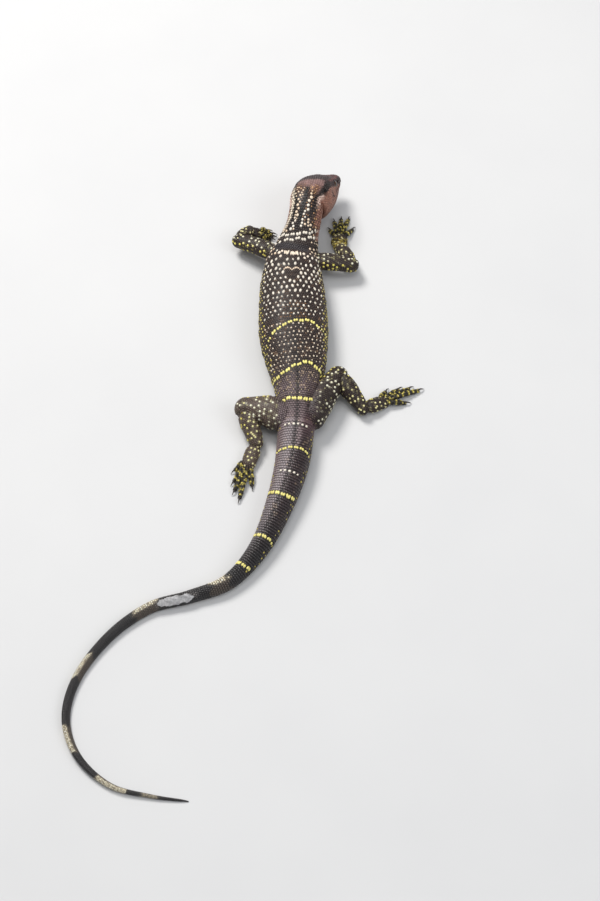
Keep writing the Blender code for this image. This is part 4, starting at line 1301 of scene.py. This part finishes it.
def cross_lines():
    """The lines across the shoulders, then the yellow bands of the trunk and the tail's root and the
    two rows of white beads between those."""
    shoulders, bands = [], []
    for number, first in enumerate((45.9, 49.1)):
        row = lambda arc: first - 0.36 * np.clip(arc, -9, 9) + 0.3 * np.sin(1.3 * arc + 2 * number)
        shoulders.append(dash_line(row, 12.5, 1.75, WHITE_BEAD * 0.98, 386 + number, 0.5, 2.7, 0.62, 0.5))
    for number, (_, thick, reach) in enumerate(trunk_bands(np.zeros(1))):
        line = lambda arc: trunk_bands(arc)[number][0]
        bands.append(dash_line(line, reach, thick, BAND_YELLOW, 51 + number, 0.35))
    for number, (centre, thick, bow) in enumerate(TAIL_DASHES):
        line = lambda arc: centre + bow * arc**2
        bands.append(dash_line(line, 8.5 - number, thick * 0.9, BAND_YELLOW * 0.96, 81 + number, 0.3))
    for centre, reach, long in ((144.3, 5.9, 0.62), (166.2, 4.6, 0.5)):
        ring = np.arange(-3, 4) * 1.95 + (0.95 if reach > 5 else 0.6)
        ring = ring[(abs(ring) < reach) & (abs(ring) > 0.5)]
        row = centre + 0.012 * ring**2
        bands.append(bead_line(row, ring, long, 0.62, WHITE_BEAD, 424 + round(centre), 0.12))
    return shoulders, bands


def ribbon_beads():
    """The pale ribbon behind the collar, the dots at its ends, and the hump behind it."""
    ribbon = np.arange(-3.5, 3.6, 0.7)
    wave = 58.7 + 0.25 * np.cos(1.1 * ribbon + 0.6)
    hump = 68.7 - 1.35 * np.sin(math.pi * np.clip((abs(ribbon) - 0.2) / 3.6, 0, 1))
    return [
        bead_line(wave, ribbon, 1.35, 0.42, RIBBON, 392, 0.03),
        bead_line(*RIBBON_DOTS.T, 0.86, 0.74, RIBBON_END, 396, 0.1),
        bead_line(hump, ribbon, 0.55, 0.38, HUMP, 394, 0.03),
    ]


def girth_share(beads):
    """How far round the body beads lie, as a share of half its girth."""
    return abs(beads[:, 1]) / half_girth(beads[:, 0])


def trunk_fields():
    """The fields of beads on the back, from the shoulders to the hips, and on the flanks and tail."""
    large = bead_rows(56.9, 81.4, 2.72, 2.5, 14.5, 0.94, 0.56, WHITE_BEAD, 400, 0.98, 0.16)
    bare = np.hypot((large[:, 0] - 71.8) / 2.4, large[:, 1] / 2.2) < 1
    mixed = DUN_BEAD * 0.5 + WHITE_BEAD * 0.5
    fields = [large[~bare]] + [bead_rows(*field) for field in (
        (83.9, 93.0, 2.25, 2.25, 14.0, 0.66, 0.46, WHITE_BEAD * 0.97, 404, 0.97, 0.16),
        (87.5, 94.6, 1.7, 1.35, 5.5, 0.16, 0.42, RUST_BEAD, 408, 0.85, 0.06),
        (97.6, 117.0, 1.9, 1.9, 13.5, 0.46, 0.38, mixed, 412, 0.88, 0.18),
        (118.5, 131.0, 1.6, 1.65, 9.5, 0.29, 0.28, RUMP_BEAD, 416, 0.55, 0.2),
    )]
    sides = bead_rows(56.0, 134.0, 2.0, 2.0, 26.0, 0.48, 0.44, GOLD_BEAD, 420, 0.9, low=9.0)
    sides[:, 4:] = by_distance(sides[:, 0], (58, PALE_BEAD), (85, GOLD_BEAD), (134, GOLD_BEAD))
    tail = bead_rows(137.0, 214.0, 2.1, 2.05, 18.0, 0.44, 0.38, GOLD_BEAD, 430, 0.6, low=3.4)
    for beads, far in ((sides, 0.68), (tail, 0.72)):
        share = girth_share(beads)
        fields.append(beads[(share > 0.34) & (share < far)])
    return fields


BEAD_ROOM = 0.06                     # added to the half sizes of two beads
OWN_CROWD, OTHER_CROWD = 0.72, 0.9   # the least gap in a group and between groups, 1 where they touch


def all_beads():
    """Every bead of the neck, trunk and tail root, by group, less those that would touch the
    collar or an earlier bead."""
    shoulders, bands = cross_lines()
    groups = [*ribbon_beads(), *shoulders, *neck_rows(), *neck_fields(), *bands, *trunk_fields()]
    beads = np.concatenate(groups)
    s, arc, long, wide = beads[:, :4].T
    collar = (s + 0.1 * arc > 51.2) & (s + 0.1 * arc < 56.4) & (arc > -9.0) & (arc < 6.4)
    gap = np.hypot(
        (s[:, None] - s[None]) / (long[:, None] + long[None] + BEAD_ROOM),
        (arc[:, None] - arc[None]) / (wide[:, None] + wide[None] + BEAD_ROOM),
    )
    number = np.repeat(np.arange(len(groups)), [len(group) for group in groups])
    limit = np.where(number[:, None] == number[None], OWN_CROWD, OTHER_CROWD)
    crowded = np.tril(gap < limit, -1)
    beads = beads[~(crowded.any(axis=1) | collar)]
    turn = turns_at(ring_arcs(beads[:, 0]), beads[:, 1])
    names = ("s", "arc", "long", "wide")
    return {**dict(zip(names, beads[:, :4].T)), "tint": beads[:, 4:], "turn": turn}


BEADS = all_beads()


# Coats of scales

def clear_of_features(s, turn):
    """Which scales stay: none in the eyes, nostrils, ears or mouth line, and none on the snout's tip."""
    wide, tall, deep, round_ = section_at(s)
    high = section_height(turn, tall, deep, round_)
    flank = abs(np.sin(turn)) > 0.5
    nostril = np.hypot((s - NOSTRIL[0]) / NOSTRIL_SIZE[0], (high - NOSTRIL[1]) / 0.55)
    keep = ~(flank & ((eye_share(s, high) < 1.3) | (ear_share(s, high) < 1.35) | (nostril < 1.4)))
    mouth = np.abs(abs(turn) - MOUTH_TURN) * 0.9 * np.hypot(wide, tall) / 1.4
    lips = (s < MOUTH_CORNER) & (abs(mouth) < 1.2)
    return keep & ~lips & (s > 0.9)


def tube_scales(tube, kind):
    """Roots of the scales on a limb's tube: rings of scales, every other one moved by half a scale."""
    toe = kind.startswith("toe")
    pitch = 0.82 if toe else {"upper": 0.95, "lower": 0.85, "sole": 0.8}[kind]
    low, high = tube.reach()
    low, high = (-0.2, high - 0.35) if toe else (low + 0.3, high - 0.3)
    found = []
    for number, x in enumerate(np.arange(low, high, pitch * 0.88)):
        radius = tube.radius(np.clip(x, 0, tube.length))
        over = max(-x, x - tube.length, 0) / radius
        ring = radius * max(math.cos(min(over, 1.5)), 0.05) * (0.5 + 0.5 * tube.flat)
        count = max(3, round(2 * math.pi * ring / (pitch * (1.15 if toe else 1.0))))
        turn = (np.arange(count) + 0.5 * (number % 2)) * 2 * math.pi / count
        turn = np.mod(turn + math.pi, 2 * math.pi) - math.pi
        found.append(np.stack([np.full(count, x), turn * radius, turn, np.full(count, pitch)], axis=1))
    return np.concatenate(found).T


class Coat:
    """Gathers scales, lays them on the joined skin, and joins them into one mesh. rim, crest and
    front are the brightness of a scale's rim and of the rear and front half of its top: painted
    shade in the grooves between scales, a painted highlight on the rear half and painted shade on
    the front half."""

    SEAM_REACH = 10.0     # scales this near a seam are laid on the joined skin again
    ROOM = 4.0            # how far past those scales the skin's points are searched
    SPARE = 0.6           # how much farther off than its depth a root may lie
    UPRIGHT = 0.5         # the skin's normal counts from this likeness to the scale's own
    LAY_FROM, LAY_OVER = 0.04, 0.1    # how far off a root may lie, and how softly it is then moved
    MOVED = 0.12          # roots moved farther than this are thinned out
    THIN = 1.116          # their least gap, in half widths
    PATCH = 0.0015        # a scale's half size on the unwrap

    def __init__(self, name, form, rim=0.2, crest=1.35, front=0.85):
        self.name = name
        self.form, self.shapes = form
        self.rim, self.crest, self.front = rim, crest, front
        self.rows = []

    def add(self, place, normal, back, long, wide, tall, tint, corner_tint, unwrap, depth, limb=False):
        """Adds scales: place, axes, half sizes, height, root tint, the tint at each corner, the
        root's place on the skin's unwrap, how deep under the skin a root may lie and still be
        lifted on to it, and whether they are a limb's."""
        depth = np.broadcast_to(depth, len(place))
        part = np.full(len(place), float(limb))
        self.rows.append((place, normal, back, long, wide, tall, tint, corner_tint, unwrap, depth, part))

    def build(self, skin_points, skin_normals, seam, material, slot):
        """Joins the scales: each corner is the root plus its form's lengths along, across and out."""
        place, normal, back, long, wide, tall, tint, corner, unwrap, depth, part = [
            np.concatenate(column) for column in zip(*self.rows)
        ]
        keep = np.ones(len(place), bool)
        check = np.flatnonzero((closest(place, seam[::6])[1] < self.SEAM_REACH) | (part > 0))
        if len(check):
            low, high = place[check].min(axis=0) - self.ROOM, place[check].max(axis=0) + self.ROOM
            room = np.flatnonzero(((skin_points > low) & (skin_points < high)).all(axis=1))
            hit = room[closest(place[check], skin_points[room])[0]]
            n = skin_normals[hit]
            sound = (n * normal[check]).sum(axis=1) > self.UPRIGHT
            n = np.where(sound[:, None], n, normal[check])
            height = ((place[check] - skin_points[hit]) * n).sum(axis=1)
            far = np.linalg.norm(place[check] - skin_points[hit], axis=1)
            inside = (height < -depth[check]) | (far > depth[check] + self.SPARE)
            keep[check[inside]] = False
            lay = check[~inside]
            move = height[~inside]
            share = ease((abs(move) - self.LAY_FROM) / self.LAY_OVER)[:, None]
            place[lay] -= n[~inside] * (move[:, None] * share)
            normal[lay] = unit(normal[lay] * (1 - share) + n[~inside] * share)
            crowd = lay[abs(move) > self.MOVED]
            if len(crowd) > 1:
                gap = np.linalg.norm(place[crowd][:, None] - place[crowd][None], axis=2)
                gap[np.triu_indices(len(crowd))] = 99
                keep[crowd[gap.min(axis=1) < self.THIN * wide[crowd]]] = False
        arrays = (place, normal, back, long, wide, tall, tint, corner, unwrap)
        place, normal, back, long, wide, tall, tint, corner, unwrap = [v[keep] for v in arrays]
        back = unit(back - normal * (back * normal).sum(axis=1)[:, None])
        across = np.cross(normal, back)
        x, y, z = self.form.T
        lift = np.where(z < 0, -RIM_SINK, 0)[None, :] + np.where(z < 0, 0, z)[None, :] * tall[:, None]
        points = (
            place[:, None] + (long[:, None] * x[None])[..., None] * back[:, None]
            + (wide[:, None] * y[None])[..., None] * across[:, None] + lift[..., None] * normal[:, None]
        )
        count, corners = len(place), len(self.form)
        shift = (np.arange(count) * corners)[:, None, None]
        faces = [(shape[None] + shift).reshape(-1, shape.shape[1]) for shape in self.shapes]
        ob = make_mesh(self.name, points.reshape(-1, 3), faces)
        varied = 1 + 0.11 * (RNG.random(count) - 0.5)[:, None, None]
        # painted light: the rim darkened as shade in the grooves, the top's rear half lightened as a
        # highlight, its front half darkened as shade
        rim = np.where(z < 0, self.rim, np.where(x > 0, self.crest, self.front))[None, :, None]
        tints = (0.4 * tint[:, None] + 0.6 * corner) * varied * rim
        put_attribute(ob.data, "tint", "FLOAT_COLOR", np.clip(tints, *TINT_RANGE).reshape(-1, 3))
        layer = ob.data.uv_layers.new(name="OFBake")
        loops = read_all(ob.data.loops, "vertex_index", 1, np.int32).ravel()
        spread = unwrap[:, None] + self.PATCH * self.form[None, :, :2]
        layer.data.foreach_set("uv", spread.reshape(-1, 2)[loops].astype(np.float32).ravel())
        finish_piece(ob, material, slot)


def finish_piece(ob, material, slot, *nodes):
    """Gives a piece its material and body, and hides the nodes that it stands for. The slot is not used."""
    ob.data.materials.clear()
    ob.data.materials.append(material)
    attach(ob, "root")
    if nodes:
        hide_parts(*nodes)


def body_coat(coat, first, last, extra=None, only=None):
    """Scales of a length of the body, and extra ones if given. only says at which shares of half the
    girth they lie. Pale scales stand a little higher and larger."""
    s, arc, turn, size, squeeze = body_scales(first, last)
    keep = clear_of_features(s, turn)
    if only is not None:
        keep &= only(abs(arc) / half_girth(s))
    reach = np.sqrt(BEADS["long"] * BEADS["wide"]) + BEAD_CLEAR
    ratio = closest(np.stack([s, arc], axis=1), np.stack([BEADS["s"], BEADS["arc"]], axis=1), reach)[1]
    keep &= ratio > 1.0
    s, arc, turn, size = s[keep], arc[keep], turn[keep], size[keep]
    if extra is not None:
        s, arc, turn, size = [np.concatenate(pair) for pair in zip((s, arc, turn, size), extra)]
    place, normal, back = surface(body_points, s, turn)
    tint = body_tint(s, arc)
    bright = ease((tint.mean(axis=1) - 0.16) / 0.3) * (s > 24) * (abs(arc) < 0.62 * half_girth(s))
    long = LAP * size * squeeze / HEX * (1 + 0.10 * bright)
    wide = LAP * size * (1 + 0.12 * bright) * (1 + 0.42 * window(s, 126, 214, 10))
    head = 1 - ease((s - 24) / 4)
    tall = 0.20 * size * (1 + 0.4 * bright) + 0.02
    tall = tall * (1 - 0.35 * head) * (1 - 0.4 * ease((s - 190) / 60))
    x, y, _ = coat.form.T
    corner = body_tint(
        np.clip(s[:, None] + long[:, None] * x[None], 0.1, TAIL_END),
        arc[:, None] - wide[:, None] * y[None],
    )
    unwrap = unwrap_at(turn, (s - first) / (last - first))
    coat.add(place, normal, back, long, wide, tall, tint, corner, unwrap, 1.6)


def bead_coat(coat):
    """Every bead, laid on the skin and raised over the scales round it."""
    s, arc, turn, long, wide, tint = [BEADS[k] for k in ("s", "arc", "turn", "long", "wide", "tint")]
    place, normal, back = surface(body_points, s, turn)
    lean = BEAD_LEAN * (2 * chance(np.arange(len(s)), 0, 77) - 1)[:, None]
    back = back * np.cos(lean) + np.cross(normal, back) * np.sin(lean)
    tall = 0.12 + 0.30 * np.sqrt(long * wide)
    corner = np.repeat(tint[:, None], len(coat.form), axis=1)
    unwrap = unwrap_at(turn, s / 220.0)
    coat.add(place, normal, back, long, wide, tall, tint, corner, unwrap, 3.0)


def root_blend(place, tint):
    """The colours of a limb's root, with the body's own where the root still lies on the back, and
    how high each place stands over the body."""
    s = np.arange(84.0, 162.0, 0.6)
    ring = ring_arcs(s)[:, ::4]
    turn = np.broadcast_to(RING[::4], ring.shape).ravel()
    s, ring = np.broadcast_to(s[:, None], ring.shape).ravel(), ring.ravel()
    cloud = body_points(s, turn)
    hit, far = closest(place, cloud)
    s, arc, middle = s[hit], ring[hit], spine_frame(s[hit])[0]
    above = np.linalg.norm(place - middle, axis=1) - np.linalg.norm(cloud[hit] - middle, axis=1)
    share = abs(arc) / half_girth(s)
    weight = np.maximum(1 - ease((share - 0.24) / 0.14), 1 - ease((far - 0.6) / 0.9))
    weight = weight * (1 - ease((far - 2.6) / 1.0))
    return tint + (body_tint(s, arc) - tint) * weight[:, None], above


def limb_coat(coat, limbs):
    """Scales of whole limbs, each tube in its own strip of the unwrap."""
    strips = [key for key in TUBES if key[0] in limbs]
    for number, (limb, kind) in enumerate(strips):
        tube = TUBES[limb, kind]
        x, arc, turn, size = tube_scales(tube, kind)
        place, normal, back = surface(tube.points, x, turn, 0.1, 0.08)
        tint = limb_tint(limb, kind, x, arc, tube)
        if kind == "upper":
            tint, above = root_blend(place, tint)
            clear = above > ROOT_COVER
            place, normal, back, tint = [v[clear] for v in (place, normal, back, tint)]
            x, turn, size = x[clear], turn[clear], size[clear]
        bright = ease((tint.mean(axis=1) - 0.16) / 0.3)
        toe = kind.startswith("toe")
        long = 0.55 * size * (1 + 0.28 * bright)
        wide = 0.55 * size * (1.12 if toe else 1.0) * (1 + 0.28 * bright)
        tall = (0.13 if toe else 0.12) * (1 + 1.3 * bright) * size
        corner = np.repeat(tint[:, None], len(coat.form), axis=1)
        u = (number + 0.5 + 0.42 * turn / math.pi) / len(strips)
        low, high = tube.reach()
        unwrap = np.stack([u, UNWRAP_LOW + UNWRAP_TALL * (x - low) / (high - low)], axis=1)
        coat.add(place, normal, back, long, wide, tall, tint, corner, unwrap, 1.6, limb=True)


# The pieces

# Painted shade in the hollows of the ears and nostrils: distance, height, size, and how far they lie to the
# side
SHADED_HOLLOWS = ((*EAR, 1.5, 6.9), (*NOSTRIL, 0.62, 3.95))


def make_skin(material):
    """The one skin: the joined shells, tinted like the scales but darker, as skin between them is, and
    further darkened as painted shade in the grooves and in the ear and nostril hollows.
    """
    ob, points, seam = joined_skin()
    mesh = ob.data
    x, arc, part = read_all(mesh.attributes["place"].data, "vector", 3).T.astype(float)
    tint = np.empty((len(points), 3))
    body = part < 0.5
    tint[body] = body_tint(x[body], arc[body])
    for number, ((limb, kind), tube) in enumerate(TUBES.items()):
        own = np.round(part) == number + 1
        if own.any():
            tint[own] = limb_tint(limb, kind, x[own], arc[own], tube)
            if kind == "upper":
                tint[own] = root_blend(points[own], tint[own])[0]
    # painted shade in the grooves between the scales, least on the head, over the skin's own darker colour
    dark = np.where(body, 0.42 + 0.38 * ease((30 - x) / 6), 0.5)
    tint *= dark[:, None]
    hollow_shade = np.zeros(len(points), bool)
    for side in (1, -1):
        for s, high, reach, depth in SHADED_HOLLOWS:
            place, _, right, up = spine_frame(np.array(s))
            hollow_shade |= np.linalg.norm(points - (place + side * depth * right + high * up), axis=1) < reach
    # painted shade in the ear and nostril hollows
    tint[hollow_shade] *= 0.25
    mesh.attributes.remove(mesh.attributes["place"])
    put_attribute(mesh, "tint", "FLOAT_COLOR", np.clip(tint, *TINT_RANGE))
    flesh = [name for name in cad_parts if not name.startswith("eye")]
    finish_piece(ob, material, "body_skin", *flesh)
    return points, read_all(mesh.vertices, "normal", 3).astype(float), seam


def make_eye(name, material):
    """An eyeball as rings round the gaze line, its cornea a low bulge over the iris."""
    centre, out, up, ahead = EYE_PLACES[name]
    gaze = unit(out + 0.12 * up + 0.10 * ahead)
    side = unit(np.cross(up, gaze))
    up = np.cross(gaze, side)
    polar = np.linspace(0, math.pi, 34)[1:-1]
    around = np.linspace(0, 2 * math.pi, 40, endpoint=False)
    radius = EYE_RADIUS - 0.04 + 0.13 * hill(polar, 0.5)
    ring = (radius * np.sin(polar))[:, None, None]
    grid = (
        centre + (radius * np.cos(polar))[:, None, None] * gaze
        + ring * np.cos(around)[None, :, None] * side + ring * np.sin(around)[None, :, None] * up
    )
    ob = make_mesh(name.replace("eye_", "eyeball_"), closed_grid(grid), tube_faces(*grid.shape[:2]))
    share = np.repeat(polar / (math.pi / 2), len(around))
    put_attribute(ob.data, "ring", "FLOAT", np.concatenate([share, [0.0, 2.0]]))
    finish_piece(ob, material, "eye", name)


def make_claws(material):
    """Claws: a tapering, side-pressed section carried along a hooked line to a point."""
    points, tips, faces, count = [], [], [], 0
    share = np.linspace(0, 1, 12)
    around = np.linspace(0, 2 * math.pi, 12, endpoint=False)[::-1]
    for line in CLAWS:
        path = through(line, 12)
        centre = along(path, lengths(path), share * lengths(path)[-1])
        way = unit(np.gradient(centre, axis=0))
        right = unit(np.cross((0, 0, 1), way))
        up = np.cross(way, right)
        thick = (0.46 * (1 - share**1.5) ** 0.8 + 0.04)[:, None, None]
        grid = (
            centre[:, None] + 0.72 * thick * np.sin(around)[None, :, None] * right[:, None]
            + 1.15 * thick * np.cos(around)[None, :, None] * up[:, None]
        )
        cloud = closed_grid(grid)
        cloud[:, 2] = np.maximum(cloud[:, 2], 0.02)
        points.append(cloud)
        tips.append(np.concatenate([np.repeat(share, len(around)), [0, 1]]))
        faces += [group + count for group in tube_faces(*grid.shape[:2])]
        count += len(cloud)
    ob = make_mesh("claws", np.concatenate(points), faces)
    put_attribute(ob.data, "tip", "FLOAT", np.concatenate(tips))
    finish_piece(ob, material, "limb_skin")


# The flake: distance from the snout, way round, half length, half width and thickness
FLAKE_PLACE, FLAKE_WAY, FLAKE_LONG, FLAKE_WIDE, FLAKE_THICK = 243.0, 2.5, 7.5, 1.5, 0.05


def make_flake(material):
    """A flake of shed skin on the tail's right side: a thin closed sheet over the skin whose ragged
    outline comes from a few waves, lifted at its edges."""
    u, v = np.linspace(-1, 1, 60), np.linspace(-1, 1, 14)
    s = FLAKE_PLACE + FLAKE_LONG * u[:, None] + 0 * v[None]
    ragged = 1 + 0.28 * waves(s, s * 0, 3.2, 7) + 0.15 * waves(s, s * 0, 1.2, 8)
    half = FLAKE_WIDE * np.sqrt(np.clip(1 - abs(u[:, None]) ** 3, 0.02, 1)) * ragged
    arc = FLAKE_WAY + half * v[None] - 0.25 * u[:, None]
    turn = turns_at(ring_arcs(s[:, 0]), arc)
    place, normal, _ = surface(body_points, s.ravel(), turn.ravel())
    edge = np.maximum(abs(v)[None] ** 4, abs(u)[:, None] ** 8)
    lift = 0.22 + 0.10 * waves(s, arc, 1.8, 12) + 0.28 * edge
    outer = place + normal * lift.ravel()[:, None]
    inner = outer - normal * FLAKE_THICK
    n, m = s.shape
    i, j = np.arange(n - 1)[:, None], np.arange(m - 1)[None]
    top = np.stack([i * m + j, (i + 1) * m + j, (i + 1) * m + j + 1, i * m + j + 1], -1).reshape(-1, 4)
    rim = np.concatenate([
        np.arange(m), np.arange(2, n) * m - 1, np.arange(n * m - 1, (n - 1) * m - 1, -1),
        np.arange(n - 2, 0, -1) * m,
    ])
    after = np.roll(rim, -1)
    walls = np.stack([rim, after, after + n * m, rim + n * m], -1)
    ob = make_mesh("shed_flake", np.concatenate([outer, inner]), [top, top[:, ::-1] + n * m, walls])
    finish_piece(ob, material, "tail_skin")


FLOOR_HALF = 1.6                     # metres
CAMERA_AWAY = 0.750                  # metres from the plan's origin
CAMERA_RISE = math.radians(60)
CAMERA_LENS, CAMERA_SENSOR = 70.4, 36    # millimetres of the camera's own
SKY, SKY_STRENGTH = (0.85, 0.88, 0.92, 1), 0.34
# Lights: place and size in metres, power in watts, and colour
LIGHTS = {
    "key": ((-0.40, 0.60, 0.95), 0.45, 13.0, (1.0, 0.98, 0.95)),
    "fill": ((0.75, -0.35, 0.8), 0.7, 3.2, (0.95, 0.97, 1.0)),
    "top": ((0.0, -0.1, 1.3), 0.8, 4.5, (1.0, 1.0, 1.0)),
}


def make_floor():
    """A plain pale floor, 3.2 m wide."""
    mesh = bpy.data.meshes.new("floor")
    corners = [(x * FLOOR_HALF, y * FLOOR_HALF, 0) for x, y in ((-1, -1), (1, -1), (1, 1), (-1, 1))]
    mesh.from_pydata(corners, [], [(0, 1, 2, 3)])
    f = Finish("pale matt floor", Specular_IOR_Level=0.2)
    cloud = f.noise(f.place(), 60.0, 3.0)
    base = f.mix(cloud, (0.64, 0.64, 0.64), (0.60, 0.60, 0.605))
    f.feed(Base_Color=base, Roughness=cloud * 0.1 + 0.8)
    mesh.materials.append(f.material)
    add_object("floor", mesh)


def aimed(name, data, place, target):
    """A light or camera at a place, turned to look at the target."""
    ob = add_object(name, data)
    ob.location = place
    ob.rotation_euler = (target - Vector(place)).to_track_quat("-Z", "Y").to_euler()
    return ob


def make_studio():
    """Soft lights, an even pale sky, and the camera at the photograph's angle."""
    base = Vector(in_frame((0.0, 0.0, 0.0)).tolist())
    for name, (place, size, power, colour) in LIGHTS.items():
        light = bpy.data.lights.new(name, "AREA")
        light.shape, light.size, light.energy, light.color = "DISK", size, power, colour
        aimed(name, light, place, base)
    world = bpy.data.worlds.new("pale sky")
    world.use_nodes = True
    sky = world.node_tree.nodes["Background"].inputs
    sky["Color"].default_value, sky["Strength"].default_value = SKY, SKY_STRENGTH
    scene = bpy.context.scene
    scene.world = world
    scene.view_settings.view_transform = "Standard"
    camera = bpy.data.cameras.new("camera")
    camera.lens, camera.sensor_width, camera.sensor_fit = CAMERA_LENS, CAMERA_SENSOR, "AUTO"
    camera.clip_end = 10
    away = CAMERA_AWAY * Vector((0, -math.cos(CAMERA_RISE), math.sin(CAMERA_RISE)))
    scene.camera = aimed("camera", camera, base + away, base)


def main():
    """The studio, then the skin, its coats of scales, and the small pieces. The coats share one run
    of random draws, so they are filled and built in this order."""
    make_studio()
    make_floor()
    skin_cloud = make_skin(hide_finish("bare skin", 0.52, 0.10, 0.5, 0.8))
    body_hide = hide_finish("body scales", 0.44, 0.30, 0.33, 0.5)
    head_hide = hide_finish("head plates", 0.42, 0.35, 0.30, 0.6)
    tail_hide = hide_finish("tail scales", 0.34, 0.60, 0.30, 0.4)
    limb_hide = hide_finish("limb scales", 0.46, 0.25, 0.30, 0.5)
    bead_hide = hide_finish("pale beads", 0.40, 0.35, 0.30, 0.4)
    upper, under = lambda share: share < FLANK_SHARE, lambda share: share >= FLANK_SHARE
    tail_end = TAIL_END - 0.6
    # Each coat's three numbers paint shade in the grooves, a highlight on the scales' rear halves and shade
    # on their front halves
    coats = (
        (Coat("scales_head", SCALE, 0.72, 1.1, 0.96), head_hide, "head_skin",
         lambda coat: body_coat(coat, 0.8, NECK_END, extra=lip_scales())),
        (Coat("scales_back", SCALE, 0.13, 1.5, 0.6), body_hide, "body_skin",
         lambda coat: body_coat(coat, NECK_END, TRUNK_END, only=upper)),
        (Coat("scales_belly", SCALE), body_hide, "body_skin",
         lambda coat: body_coat(coat, NECK_END, TRUNK_END, only=under)),
        (Coat("beads", BEAD, 0.8, 1.0, 1.0), bead_hide, "body_skin", bead_coat),
        (Coat("scales_tail", SCALE, 0.1, 1.55, 0.48), tail_hide, "tail_skin",
         lambda coat: body_coat(coat, TRUNK_END, tail_end)),
        (Coat("scales_forelimbs", SCALE), limb_hide, "limb_skin",
         lambda coat: limb_coat(coat, ("fore_right", "fore_left"))),
        (Coat("scales_hindlimbs", SCALE), limb_hide, "limb_skin",
         lambda coat: limb_coat(coat, ("hind_right", "hind_left"))),
    )
    for coat, hide, slot, fill in coats:
        fill(coat)
        coat.build(*skin_cloud, hide, slot)
    wet = eye_finish()
    for name in EYE_PLACES:
        make_eye(name, wet)
    make_claws(claw_finish())
    make_flake(flake_finish())


main()
